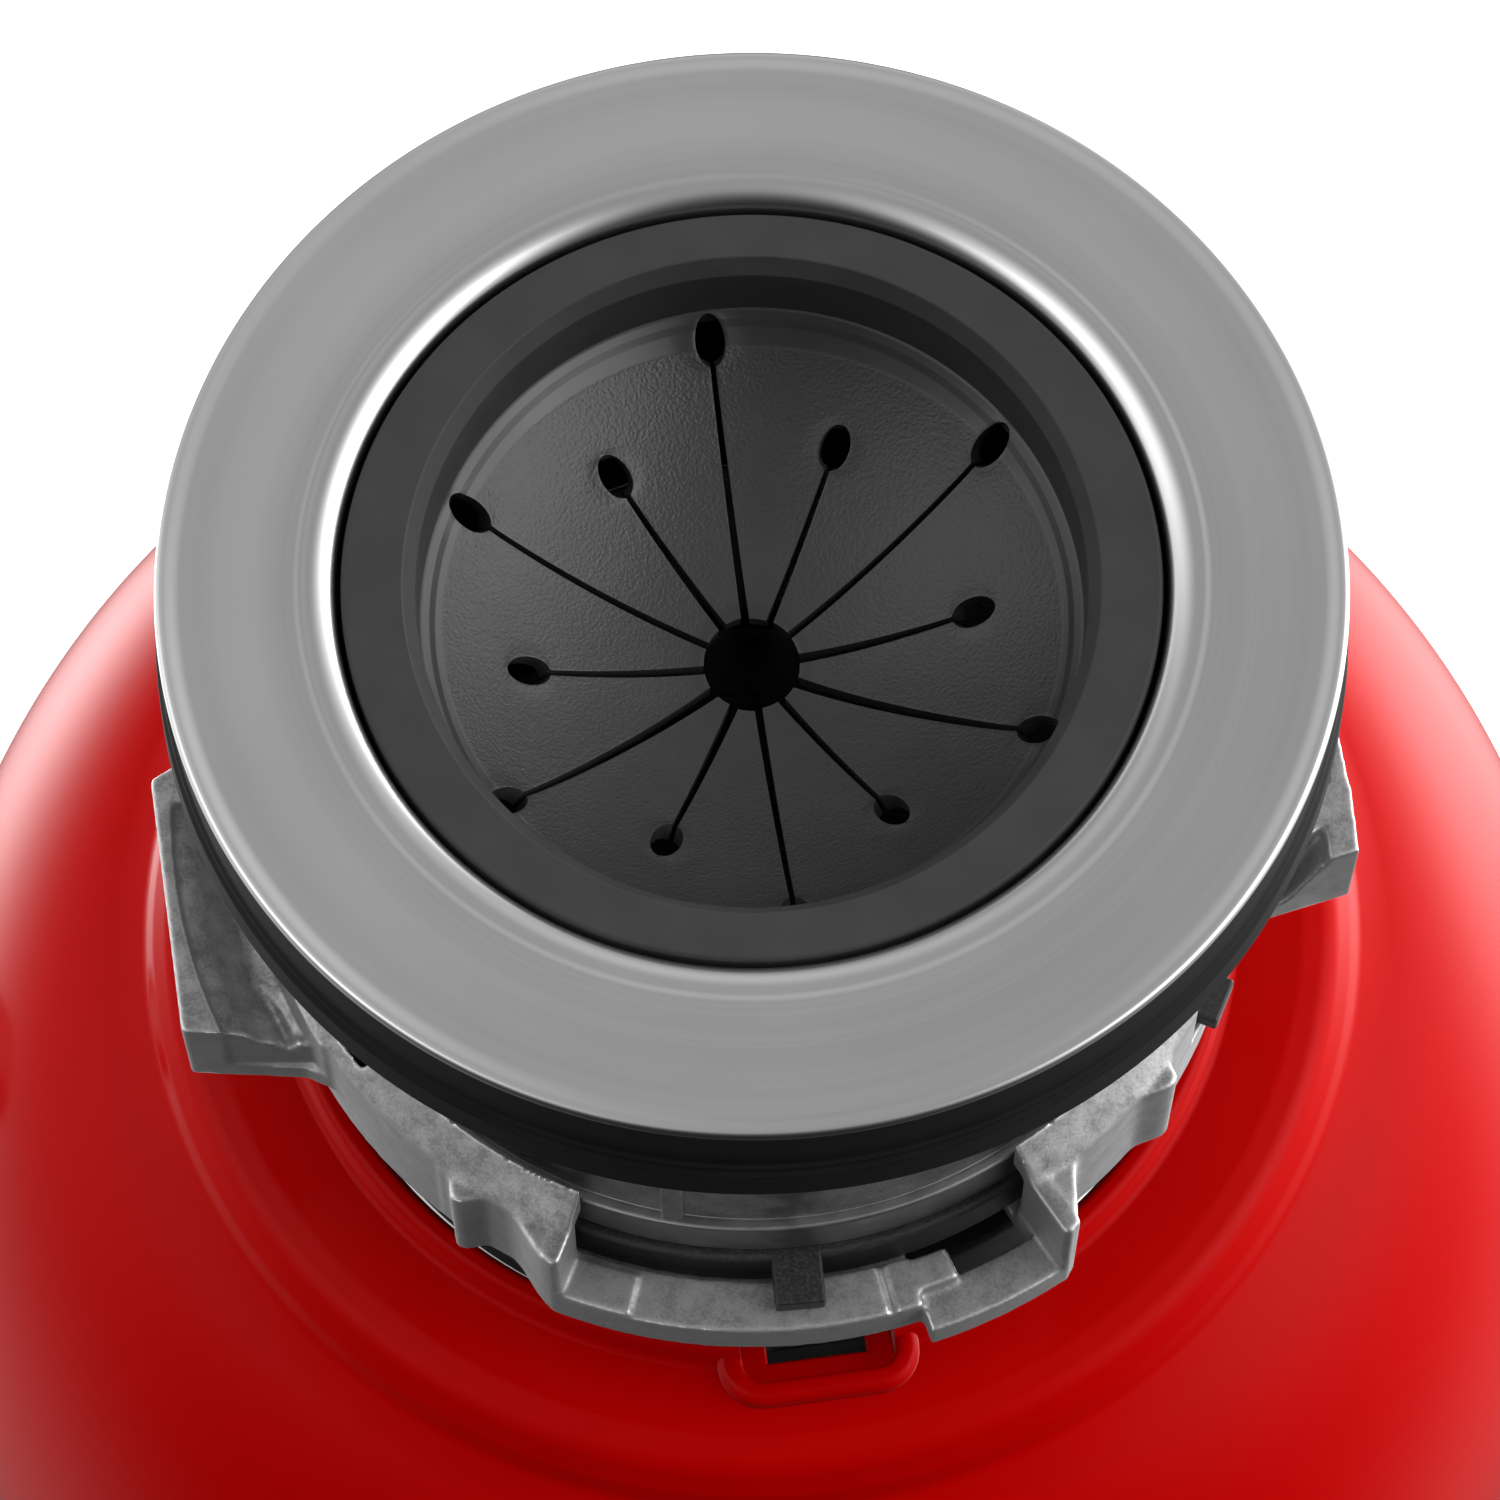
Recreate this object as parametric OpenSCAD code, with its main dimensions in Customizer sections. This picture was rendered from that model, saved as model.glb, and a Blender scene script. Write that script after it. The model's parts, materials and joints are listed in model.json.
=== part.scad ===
// Kitchen garbage disposal with its sink flange and quick-lock mount.
// Motor axis is Z. The origin is on that axis, at the level the base stands on.

/* [Overall] */
// Height from the base to the rim of the sink flange
total_h = 330; // [320:1:345]
// Diameter of the body at its widest
body_d = 200; // [194:1:206]
// Wall of the moulded shells
shell_t = 2.4; // [2:0.1:3]

/* [Sink flange] */
// Outer diameter of the sink flange
flange_d = 114.3; // [110:0.1:116]
// Inner diameter of the throat
throat_d = 82; // [81.8:0.1:82.4]
// Thickness of the flange sheet
flange_t = 1.2; // [0.9:0.1:1.2]
// Length of the throat below the rim
throat_len = 65.2; // [64:0.1:65.4]

/* [Splash guard] */
// Outer diameter of the rubber rim
guard_d = 80.6; // [80:0.1:80.8]
// Diameter of the round well inside the rim
guard_well_d = 64.4; // [62:0.1:66]
// Depth of the membrane's middle below its edge
guard_dish = 12; // [10:0.5:15]
// Number of flaps cut in the membrane
guard_flaps = 12; // [8:2:16]

/* [Lock ring] */
// Outside diameter of the ring's plain wall
ring_d = 103.6; // [103:0.1:104.4]
// Depth of the wall's top edge below the rim
ring_top = 55; // [54.8:0.1:55.2]
// Turn that brings the lugs under the windows
ring_turn = 30; // [28:1:30]

/* [Ports] */
// Height of the drain outlet's centre above the base
outlet_z = 156; // [154:1:158]
// Outside diameter of the drain tube
outlet_d = 38.1; // [36:0.1:40]
// Height of the dishwasher inlet's centre above the base
inlet_z = 203; // [202:1:206]
// Outside diameter of the dishwasher inlet
inlet_d = 22.2; // [20:0.1:24]
// Hole for the supply cable in its gland
cable_d = 9; // [7:0.5:12]

/* [Motor] */
// Diameter of the motor shaft
shaft_d = 15; // [14:0.5:16]
// Diameter of the stator stack
stator_d = 130; // [124:1:132]
// Length of the stator stack
stack_len = 46; // [40:1:48]

/* [Hidden] */
$fn = 96;

body_r = body_d / 2;
flange_r = flange_d / 2;
throat_r = throat_d / 2;
guard_r = guard_d / 2;
guard_well_r = guard_well_d / 2;
outlet_r = outlet_d / 2;
inlet_r = inlet_d / 2;
shaft_r = shaft_d / 2;
stator_r = stator_d / 2;

// Gap left between faces that rest on each other
seat_gap = 0.01;

// Depths of the mount stack below the rim
guard_drop = 1.4;
guard_wall = 8.4;
guard_foot = 56;
flange_edge = 1.2;
gasket_lip = 1.5;
gasket_top = 3;
gasket_seam = 9;
gasket_bottom = 15;
backup_bottom = 18;
mount_top = 22;
mount_collar = 28;
mount_groove = 56.2;
mount_bottom = 62.4;
lug_top = 57.4;
lug_bottom = 60.4;

// Lock ring: radii, depths and angles round the motor axis
ring_r = ring_d / 2;
ring_in = ring_r - 1.9;
hook_r = 48;
hook_top = 51.5;
hook_bottom = 57;
ledge_top = 65;
ledge_low = 66.2;
ledge_bottom = 70.5;
ring_bottom = 71.3;
lip_top = 69.2;
lip_r = 45.2;
window_a = -111;
window_b = -56.5;
step_a = -71.4;
notch_a = -27.5;
notch_b = -9;
ledge_r = 55.4;
ledge_in = 50.3;
low_ledge_r = 58;
low_ledge_in = 53.2;
ear_bottom = 67.5;
lug_from = -54;
lug_to = -30;
mount_r = 47.5;
lug_r = 49.6;

// Cushion collar and the neck of the hopper
collar_r = 48.5;
collar_top = 62.7;
collar_tabs = [-84.6, -24.6, 95.4, 155.4];
tab_r = 53.3;
tab_w = 5.2;
neck_flange_top = 65.9;
neck_flange_bottom = 68.9;
neck_flange_r = 46.9;
neck_r = 44.3;
neck_in = 41.8;

// Heights of the body parts above the base
hopper_r = 76;
hopper_in = 73.6;
chamber_top = 172;
chamber_bottom = 146;
shell_bottom = 112;
shell_top = total_h - 84;
band_bottom = 104;
table_z = 176;
table_r = 62.5;
lug_orbit = 44;
stator_z = 58;
bell_z = 136;
port_angle = 7.2;

// The dishwasher inlet's outer end, and the length that takes the hose
inlet_end = 118;
inlet_len = 18.5;

// The shell's shoulder is a quarter ellipse: half axes, then its centre's radius and height
shoulder_a = 46;
shoulder_b = 70;
shoulder_c = body_r - shoulder_a;
shoulder_z = total_h - 160;

// A ring of rectangular section between two depths below the rim
module band(r_in, r_out, top, bottom) {
    translate([0, 0, total_h - bottom]) difference() {
        cylinder(r = r_out, h = bottom - top);
        translate([0, 0, -1]) cylinder(r = r_in, h = bottom - top + 2);
    }
}

// A sector of a ring between two angles and two depths below the rim
module arc_band(r_in, r_out, top, bottom, from, to) {
    rotate([0, 0, from]) rotate_extrude(angle = to - from)
        translate([r_in, total_h - bottom]) square([r_out - r_in, bottom - top]);
}

// A ring of rectangular section at a height above the base
module tube(r_in, r_out, z, h) {
    translate([0, 0, z]) difference() {
        cylinder(r = r_out, h = h);
        translate([0, 0, -1]) cylinder(r = r_in, h = h + 2);
    }
}

// Points of an arc, from one angle to another
function arc(cx, cy, r, from, to, n) =
    [for (i = [0:n]) let (a = from + (to - from) * i / n) [cx + r * cos(a), cy + r * sin(a)]];

function reverse(points) = [for (i = [len(points) - 1:-1:0]) points[i]];

// A smooth step from 0 to 1 as x goes from a to b
function ease(x, a, b) = let (t = max(0, min(1, (x - a) / (b - a)))) t * t * (3 - 2 * t);

// Repeats a part half a turn on
module twice() {
    children();
    rotate([0, 0, 180]) children();
}

module sink_flange() {
    rim_top = concat(
        [[flange_r - 0.35, -flange_edge], [flange_r, -0.5], [flange_r - 0.5, -0.15], [flange_r - 2.2, 0]],
        arc(throat_r + 3.2, -4.2, 3.2, 90, 180, 8));
    rim_under = arc(throat_r + 3.2, -4.2, 3.2 - flange_t, 180, 90, 8);
    lip = [[throat_r, -56.4], [throat_r - 2.5, -56.4], [throat_r - 2.5, -57.6], [throat_r, -57.6]];
    groove = [[throat_r + flange_t, -62.2], [throat_r + 0.8, -62.2], [throat_r + 0.8, -60],
        [throat_r + flange_t, -60]];
    color("silver") translate([0, 0, total_h]) rotate_extrude()
        polygon(concat(rim_top, lip, [[throat_r, -throat_len], [throat_r + flange_t, -throat_len]],
            groove, rim_under));
}

// The membrane is a shallow bowl cut into flaps by slits that end in round holes
module splash_guard() {
    rim_t = 3;
    skin = 1.8;
    edge = guard_drop + guard_wall;
    bowl_r = (pow(guard_well_r, 2) + pow(guard_dish, 2)) / (2 * guard_dish);
    bowl_a = asin(guard_well_r / bowl_r);
    hub_a = asin(4.75 / bowl_r);
    bowl_z = -edge - guard_dish + bowl_r;
    outline = concat(
        [[guard_r, -guard_drop - 0.5], [guard_r - 0.5, -guard_drop], [33.5, -guard_drop],
            [guard_well_r + 0.3, -guard_drop - 1.7], [guard_well_r, -edge]],
        arc(0, bowl_z, bowl_r, -90 + bowl_a, -90 + hub_a, 8),
        arc(0, bowl_z, bowl_r + skin, -90 + hub_a, -90 + bowl_a, 8),
        [[guard_well_r + skin, -edge], [guard_well_r + skin, -guard_drop - rim_t],
            [guard_r - 1.6, -guard_drop - rim_t], [guard_r - 1.6, -guard_foot], [guard_r, -guard_foot]]);
    color("dimgray") translate([0, 0, total_h]) difference() {
        rotate_extrude() polygon(outline);
        for (i = [0:guard_flaps - 1]) {
            reach = i % 2 == 0 ? 29.8 : 22;
            rotate([0, 0, 98 + i * 360 / guard_flaps]) {
                translate([4, -0.45, -40]) cube([reach - 4, 0.9, 38]);
                translate([reach, 0, -40]) cylinder(r = 1.7, h = 38);
            }
        }
    }
}

module sink_gasket() {
    color("black") {
        band(throat_r + 1.5, flange_r - 0.1, gasket_top, gasket_seam);
        band(54, flange_r - 0.1, gasket_lip, gasket_top + 0.5);
    }
}

module fibre_gasket() {
    color("black") band(throat_r + 1.5, flange_r + 0.85, gasket_seam, gasket_bottom);
}

module backup_ring() {
    color("gray") {
        band(throat_r + 1.5, 54.5, gasket_bottom, backup_bottom);
        band(53, 54.5, gasket_bottom, backup_bottom + 3);
    }
}

screw_orbit = 50;
screw_angles = [90, 210, 330];

module at_mount_screws() {
    for (a = screw_angles) rotate([0, 0, a]) translate([screw_orbit, 0, 0]) children();
}

module mounting_ring() {
    bore = throat_r + 1.5;
    waist_r = 46.4;
    outline = [[bore, -mount_bottom], [mount_r, -mount_bottom], [mount_r, -mount_groove],
        [waist_r, -mount_groove], [waist_r, -mount_collar], [49, -mount_collar], [49, -mount_top],
        [bore, -mount_top]];
    color("darkgray") difference() {
        union() {
            translate([0, 0, total_h]) rotate_extrude() polygon(outline);
            twice() arc_band(45, lug_r, lug_top, lug_bottom, lug_from, lug_to);
            for (i = [0:5]) rotate([0, 0, -100 + 60 * i])
                translate([waist_r - 1, -1.35, total_h - mount_groove - 0.5]) cube([1.8, 2.7, 24]);
            at_mount_screws() translate([0, 0, total_h - mount_collar])
                cylinder(r = 4.4, h = mount_collar - mount_top);
        }
        at_mount_screws() translate([0, 0, total_h - mount_collar - 1]) cylinder(r = 2.5, h = 8);
        band(bore - 1, 45.2, 59.6, mount_bottom + 1);
    }
}

module mounting_screws() {
    color("silver") at_mount_screws() difference() {
        union() {
            translate([0, 0, total_h - 30]) cylinder(r = 2.45, h = 30 - backup_bottom);
            translate([0, 0, total_h - 33]) cylinder(r = 3.4, h = 3);
        }
        translate([-4, -0.5, total_h - 34]) cube([8, 1, 2.2]);
    }
}

module snap_ring() {
    color("silver") arc_band(throat_r + 0.9, 44.8, 60.1, 62.1, 8, 352);
}

// Radius inside the plain wall where the flares, webs and wings join it
inlay_r = ring_r - 1;

// Outline radius of the flared wall beside a window, at an angle between bump and peak
function flare_left(a) = ring_r + 0.2 + 1.9 * ease(a, -126.4, -124.4) - 1.9 * ease(a, -124, -121)
    + 3.4 * ease(a, -119, window_a);
function flare_right(a) = ring_r + 0.2 + 6.2 * (1 - ease(a, window_b, -50)) + 1.8 * ease(a, -41, -36.4)
    - 1.8 * ease(a, -36, -34.6);

// A wall whose outline follows one of the flare functions
module flared_wall(right, from, to, n) {
    step = (to - from) / n;
    outside = [for (i = [0:n]) let (a = from + step * i, r = right ? flare_right(a) : flare_left(a))
        [r * cos(a), r * sin(a)]];
    inside = [for (i = [n:-1:0]) let (a = from + step * i) [inlay_r * cos(a), inlay_r * sin(a)]];
    translate([0, 0, total_h - ledge_bottom + 0.2]) linear_extrude(height = ledge_bottom - ring_top - 0.3)
        polygon(concat(outside, inside));
}

// A wing with a straight outer side, an upright strip along it and a scoop behind the strip
module ear() {
    corners = [[48, 165], [62.7, 178.6], [64.1, 204.4], [53.6, 210.3], [51.4, 214]];
    wing = [for (c = corners) [c[0] * cos(c[1]), c[0] * sin(c[1])]];
    translate([0, 0, total_h - ear_bottom]) difference() {
        linear_extrude(height = ear_bottom - ring_top) polygon(wing);
        translate([0, 0, -1]) cylinder(r = inlay_r, h = 20);
        translate([0, 0, 3]) difference() {
            cylinder(r = 60.4, h = 20);
            cylinder(r = ring_r + 0.5, h = 30, center = true);
            rotate([0, 0, 91]) translate([0, 0, -1]) cube([80, 80, 30]);
        }
    }
}

// Full ring in section: wall, sloping hook over the mounting lugs and lip under the hopper's neck
module ring_body() {
    outline = [[lip_r, -ring_bottom], [ring_r, -ring_bottom], [ring_r, -ring_top], [hook_r, -hook_top],
        [hook_r, -hook_bottom], [ring_in, -hook_bottom], [ring_in, -lip_top], [lip_r, -lip_top]];
    difference() {
        union() {
            translate([0, 0, total_h]) rotate_extrude() polygon(outline);
            twice() {
                arc_band(inlay_r, ledge_r, ledge_top - 1, ledge_bottom, window_a - 1, step_a + 0.3);
                arc_band(inlay_r, low_ledge_r, ledge_top - 1, ledge_bottom, step_a, window_b + 1);
            }
        }
        twice() {
            // The window, high on one side and low on the other, and open inside its low ledge
            arc_band(40, 60, 45, ledge_top, window_a, step_a);
            arc_band(40, 61, 44, ledge_low, step_a - 0.01, window_b);
            arc_band(40, low_ledge_in, 60, 80, step_a + 0.5, window_b - 0.5);
            arc_band(40, 60, 60, ledge_top + 0.5, -75.2, -74.2);
            // The notch for a collar tab, and the stretch with no hook
            arc_band(40, 60, 45, ledge_top + 0.2, notch_a, notch_b);
            arc_band(40, ring_in + 0.4, 45, 58, notch_b - 0.5, 38);
        }
    }
}

module ring_half() {
    // Flared walls and the radial webs that close the window's ends
    flared_wall(false, -128, window_a - 0.3, 24);
    flared_wall(true, window_b + 0.3, -34, 28);
    arc_band(inlay_r - 0.5, 55, ring_top - 0.1, ledge_bottom - 0.5, window_a - 1.8, window_a + 0.2);
    arc_band(inlay_r - 0.5, 57.6, ring_top - 0.1, ledge_bottom - 0.5, window_b - 0.2, window_b + 1.9);
    // The start of the ledge is a little higher, and a finger runs on past its end
    arc_band(inlay_r, ledge_r - 0.2, ledge_top - 0.5, ledge_top + 1, window_a - 0.5, -103.2);
    arc_band(ledge_in, low_ledge_in + 0.6, ledge_top, ledge_top + 3, step_a - 0.7, -66.7);
    ear();
}

module lock_ring() {
    color("lightgray") {
        ring_body();
        twice() ring_half();
    }
}

module cushion_collar() {
    color("black") {
        band(throat_r + 1.6, collar_r, collar_top, neck_flange_top - 0.3);
        band(neck_flange_r + 0.3, collar_r, collar_top, neck_flange_bottom);
        for (a = collar_tabs) rotate([0, 0, a])
            translate([collar_r - 1, -tab_w / 2, total_h - ledge_top])
                cube([tab_r - collar_r + 1, tab_w, ledge_top - collar_top]);
    }
}

module neck_boot() {
    color("black") {
        band(neck_r + 0.3, 49.6, ring_bottom + 0.7, ring_bottom + 2.7);
        band(neck_r + 0.3, 48.4, ring_bottom + 2.7, 88);
    }
}

// Places a shape that runs inwards along the dishwasher inlet from a distance off the motor axis
module along_inlet(from) {
    translate([-from, 0, inlet_z]) rotate([0, 90, 0]) children();
}

module hopper() {
    z = total_h;
    outline = [[neck_flange_r, z - neck_flange_top], [neck_in, z - neck_flange_top], [neck_in, 238],
        [hopper_in, 220], [hopper_in, chamber_top + 2], [hopper_r + 3, chamber_top + 2],
        [hopper_r + 3, chamber_top + 5], [hopper_r, chamber_top + 5], [hopper_r, 221.5], [neck_r, 239.8],
        [neck_r, z - neck_flange_bottom], [neck_flange_r, z - neck_flange_bottom]];
    color("silver") difference() {
        union() {
            rotate_extrude() polygon(outline);
            along_inlet(inlet_end) cylinder(r = inlet_r, h = inlet_end - hopper_in - 1);
            along_inlet(inlet_end - inlet_len)
                cylinder(r = inlet_r + 1.9, h = inlet_end - inlet_len - hopper_in - 1);
        }
        along_inlet(inlet_end + 1) cylinder(r = inlet_r - 2.1, h = 60);
    }
}

// Outer profile of the red shell: neck ridge, flat top, convex step and domed shoulder
function shell_profile() = concat(
    [[48.9, shell_top - 3]], arc(50.7, shell_top - 1.6, 1.6, 180, 20, 6),
    [[52.6, shell_top - 2], [60, shell_top - 2.4], [63, shell_top - 3]],
    arc(63, shell_top - 5, 2, 80, 20, 3), [[66.2, shell_top - 7.3]],
    shoulder(0, 71, 3));

// Points down the shoulder, set in from its outside, between two angles of its ellipse
function shoulder(inset, from, to) = [for (t = [from:-4:to])
    [shoulder_c + (shoulder_a - inset) * cos(t), shoulder_z + (shoulder_b - inset) * sin(t)]];

module port_block(w, y_in, y_out, r, z, h) {
    for (x = [r - w / 2, w / 2 - r], y = [y_in - r, y_out + r]) translate([x, y, z]) cylinder(r = r, h = h);
    translate([-w / 2, y_out + r, z]) cube([w, y_in - y_out - 2 * r, h]);
    translate([r - w / 2, y_out, z]) cube([w - 2 * r, y_in - y_out, h]);
}

module upper_shell() {
    r_in = body_r - shell_t;
    outline = concat([[48.9, shell_top - 5]], shell_profile(), [[body_r, shoulder_z], [body_r, shell_bottom],
        [r_in, shell_bottom], [r_in, shoulder_z]], reverse(shoulder(shell_t, 75, 3)),
        [[61.5, shell_top - 5.4]]);
    color("red") difference() {
        union() {
            rotate_extrude() polygon(outline);
            rotate([0, 0, port_angle]) difference() {
                port_block(21, -50, -57.6, 3, shell_top - 8, 7.4);
                translate([0, 0, -1]) cylinder(r = 48.9, h = total_h);
            }
        }
        rotate([0, 0, port_angle]) {
            port_block(16, -45, -54.9, 1.8, shell_top - 4, 30);
            port_block(10.5, -45, -52.3, 1.2, shell_top - 20, 30);
        }
        shell_holes(15);
    }
}

// Holes through the shell and the liner for the drain outlet and the dishwasher inlet
module shell_holes(inlet_hole_r) {
    translate([60, 0, outlet_z]) rotate([0, 90, 0]) cylinder(r = 37, h = 60);
    along_inlet(120) cylinder(r = inlet_hole_r, h = 60);
}

module port_insert() {
    floor_z = shell_top - 8.5;
    color("black") rotate([0, 0, port_angle]) difference() {
        port_block(10.1, -49.4, -52.1, 1.1, floor_z, 4.4);
        port_block(7.5, -48.6, -50.8, 0.8, floor_z + 1.2, 12);
        cylinder(r = 48.9, h = total_h);
    }
}

module insulation_liner() {
    r_in = hopper_r + 1;
    outline = concat([[r_in, 223]], shoulder(shell_t + 0.8, 53, 13), [[r_in, 185]]);
    color("white") difference() {
        rotate_extrude() polygon(outline);
        shell_holes(14);
    }
}

module trim_band() {
    color("black") {
        tube(body_r - shell_t - 4, body_r - 1.4, band_bottom, shell_bottom - band_bottom);
        tube(body_r - shell_t - 4, body_r - shell_t - 0.4, band_bottom, shell_bottom - band_bottom + 5);
    }
}

shell_screw_angles = [45, 135, 225, 315];
base_r = 84;
base_h = 14;

// Repeats a shape that points outwards at each shell screw, from a distance off the motor axis
module at_shell_screws(from) {
    for (a = shell_screw_angles) rotate([0, 0, a]) translate([from, 0, 96]) rotate([0, 90, 0]) children();
}

module lower_shell() {
    color("dimgray") difference() {
        rotate_extrude() polygon([[body_r - 1, band_bottom], [body_r - 1, 84], [base_r + 5, base_h + 6],
            [base_r + 2, base_h], [base_r - 2, base_h], [base_r + 2, base_h + 6], [body_r - 1 - shell_t, 85],
            [body_r - 1 - shell_t, band_bottom]]);
        translate([0, -80, 30]) rotate([90, 0, 0]) cylinder(r = 5.8, h = 30);
        translate([0, 80, 34]) rotate([-90, 0, 0]) cylinder(r = 9, h = 30);
        at_shell_screws(80) cylinder(r = 2.1, h = 30);
    }
}

module shell_screws() {
    color("silver") at_shell_screws(body_r - 8) difference() {
        union() {
            cylinder(r = 2, h = 8);
            translate([0, 0, 7]) cylinder(r = 3.6, h = 1.6);
        }
        translate([-3, -0.5, 7.6]) cube([6, 1, 2]);
    }
}

base_screw_angles = [30, 150, 270];

module base_cover() {
    color("black") difference() {
        union() {
            tube(74, base_r, 0, base_h - seat_gap);
            translate([0, 0, 6]) cylinder(r = base_r - 1, h = 3);
            tube(11, 16, 3, 5);
        }
        translate([0, 0, 2]) cylinder(r = 11, h = 12);
        translate([-58, -20, 2]) cube([34, 40, 12]);
        for (a = base_screw_angles) rotate([0, 0, a]) translate([66, 0, 2]) cylinder(r = 2.2, h = 12);
    }
}

module base_screws() {
    color("silver") for (a = base_screw_angles) rotate([0, 0, a]) translate([66, 0, 0]) difference() {
        union() {
            translate([0, 0, 4]) cylinder(r = 4, h = 2);
            translate([0, 0, 6]) cylinder(r = 2.1, h = 12);
        }
        translate([-5, -0.5, 3]) cube([10, 1, 2]);
    }
}

// Toothed ring that the turning lugs grind food against
module shredder_ring() {
    color("silver") difference() {
        tube(64.2, hopper_in - 0.4, chamber_top + 2, 24);
        for (i = [0:23]) rotate([0, 0, i * 15]) {
            translate([62, -2.6, table_z + 5]) cube([5, 5.2, 12]);
            translate([62, -1.4, chamber_top + 1]) cube([14, 2.8, 4]);
        }
    }
}

module at_lugs() {
    for (a = [0, 180]) rotate([0, 0, a]) translate([lug_orbit, 0, 0]) children();
}

module turntable() {
    color("silver") difference() {
        union() {
            translate([0, 0, table_z]) cylinder(r = table_r, h = 2.5);
            translate([0, 0, table_z - 5]) cylinder(r = 18, h = 6);
            tube(table_r - 3, table_r, table_z - 2, 4);
        }
        translate([0, 0, table_z - 6]) cylinder(r = shaft_r, h = 12);
        at_lugs() translate([0, 0, table_z - 6]) cylinder(r = 3, h = 12);
        for (i = [0:7]) rotate([0, 0, 22.5 + i * 45])
            translate([30, 0, table_z - 6]) cylinder(r = 2.4, h = 12);
    }
}

// A swivelling impeller: a flat foot on the turntable and an upright striking face
module lug_shape() {
    base = table_z + 2.8;
    difference() {
        union() {
            translate([0, 0, base]) cylinder(r = 7.5, h = 3);
            translate([-2, -7, base]) cube([17, 14, 3]);
            translate([11, -7, base]) cube([4, 14, 15]);
        }
        translate([0, 0, base - 1]) cylinder(r = 3.05, h = 6);
    }
}

module lug_a() {
    color("lightgray") translate([lug_orbit, 0, 0]) lug_shape();
}

module lug_b() {
    color("lightgray") rotate([0, 0, 180]) translate([lug_orbit, 0, 0]) lug_shape();
}

module lug_rivets() {
    color("gray") at_lugs() {
        translate([0, 0, table_z - 1.5]) cylinder(r = 5, h = 1.5);
        translate([0, 0, table_z]) cylinder(r = 3, h = 7.2);
        translate([0, 0, table_z + 6.2]) cylinder(r = 5, h = 2);
    }
}

module turntable_nut() {
    color("gray") translate([0, 0, table_z + 2.5]) difference() {
        cylinder(r = 13, h = 8, $fn = 6);
        translate([0, 0, -1]) cylinder(r = shaft_r - 1.5, h = 12);
    }
}

module motor_shaft() {
    color("silver") difference() {
        union() {
            translate([0, 0, 22]) cylinder(r = shaft_r, h = table_z + 2.5 - 22);
            translate([0, 0, table_z + 2]) cylinder(r = shaft_r - 1.5, h = 11);
        }
        translate([0, 0, 21]) cylinder(r = 3.7, h = 15, $fn = 6);
    }
}

module water_slinger() {
    color("black") {
        tube(shaft_r, 13, 160, 11);
        tube(shaft_r, 20, 160, 2.5);
    }
}

module shaft_seal() {
    color("black") tube(shaft_r + 0.6, 15, chamber_bottom + 1.5, 7);
}

module upper_bearing() {
    color("goldenrod") tube(shaft_r + 0.05, 13, bell_z - 8, 16);
}

module lower_bearing() {
    color("goldenrod") tube(shaft_r + 0.05, 13, 30, 14);
}

module chamber_gasket() {
    color("black") tube(hopper_in + 1, hopper_r + 3, chamber_top, 2);
}

// Places a shape that runs outwards along the drain outlet from a distance off the motor axis
module along_outlet(from) {
    translate([from, 0, outlet_z]) rotate([0, 90, 0]) children();
}

module outlet_screw_holes(r) {
    for (y = [-27, 27]) translate([0, y, 0]) along_outlet(70) cylinder(r = r, h = 30);
}

// Cast drain chamber under the turntable, with a window in its side that opens into the outlet
module drain_chamber() {
    color("gray") difference() {
        union() {
            translate([0, 0, chamber_bottom]) cylinder(r = hopper_r + 1, h = chamber_top - chamber_bottom);
            tube(hopper_in + 0.4, hopper_r + 3, chamber_top - 4, 4);
            translate([70, -22, chamber_bottom]) cube([12, 44, chamber_top - chamber_bottom]);
            along_outlet(81) cylinder(r = outlet_r + 1.5, h = 7);
            translate([84, -33, outlet_z - 13]) cube([4, 66, 26]);
        }
        translate([0, 0, chamber_bottom + 3]) cylinder(r = hopper_in, h = 40);
        translate([60, -15, chamber_bottom + 3.2]) cube([23, 30, chamber_top - chamber_bottom - 6.4]);
        along_outlet(82.5) cylinder(r = outlet_r - 3.4, h = 20);
        translate([0, 0, chamber_bottom - 1]) cylinder(r = 15.2, h = 10);
        outlet_screw_holes(2.5);
    }
    // Wall round the shaft that keeps water off the seal
    color("gray") tube(15.2, 18, chamber_bottom, 11);
}

module discharge_gasket() {
    color("black") along_outlet(88) difference() {
        cylinder(r = outlet_r + 3, h = 3);
        translate([0, 0, -1]) cylinder(r = outlet_r - 2, h = 6);
    }
}

elbow_bend = 30;
elbow_start = 102;
elbow_drop = 26;
elbow_t = 2;

// Two-eared plate that pulls the elbow's collar against the gasket
module discharge_flange() {
    color("silver") difference() {
        union() {
            along_outlet(94) cylinder(r = 25, h = 3);
            translate([94, -33, outlet_z - 9]) cube([3, 66, 18]);
        }
        along_outlet(90) cylinder(r = outlet_r + 0.2, h = 12);
        outlet_screw_holes(2.7);
    }
}

// Length of pipe along Z between two heights
module pipe(h) {
    difference() {
        cylinder(r = outlet_r, h = h);
        translate([0, 0, -1]) cylinder(r = outlet_r - elbow_t, h = h + 2);
    }
}

module discharge_elbow() {
    color("black") {
        along_outlet(91) {
            pipe(elbow_start - 91);
            difference() {
                cylinder(r = outlet_r + 3, h = 2.8);
                translate([0, 0, -1]) cylinder(r = outlet_r - 0.5, h = 5);
            }
        }
        translate([elbow_start, 0, outlet_z - elbow_bend]) rotate([90, 0, 0]) rotate_extrude(angle = 90)
            translate([elbow_bend, 0]) difference() {
                circle(r = outlet_r);
                circle(r = outlet_r - elbow_t);
            }
        translate([elbow_start + elbow_bend, 0, outlet_z - elbow_bend - elbow_drop]) pipe(elbow_drop);
    }
}

module discharge_screws() {
    color("silver") for (y = [-27, 27]) translate([0, y, 0]) {
        along_outlet(80) cylinder(r = 2.45, h = 17);
        along_outlet(97) cylinder(r = 4.6, h = 3.4, $fn = 6);
    }
}

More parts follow.
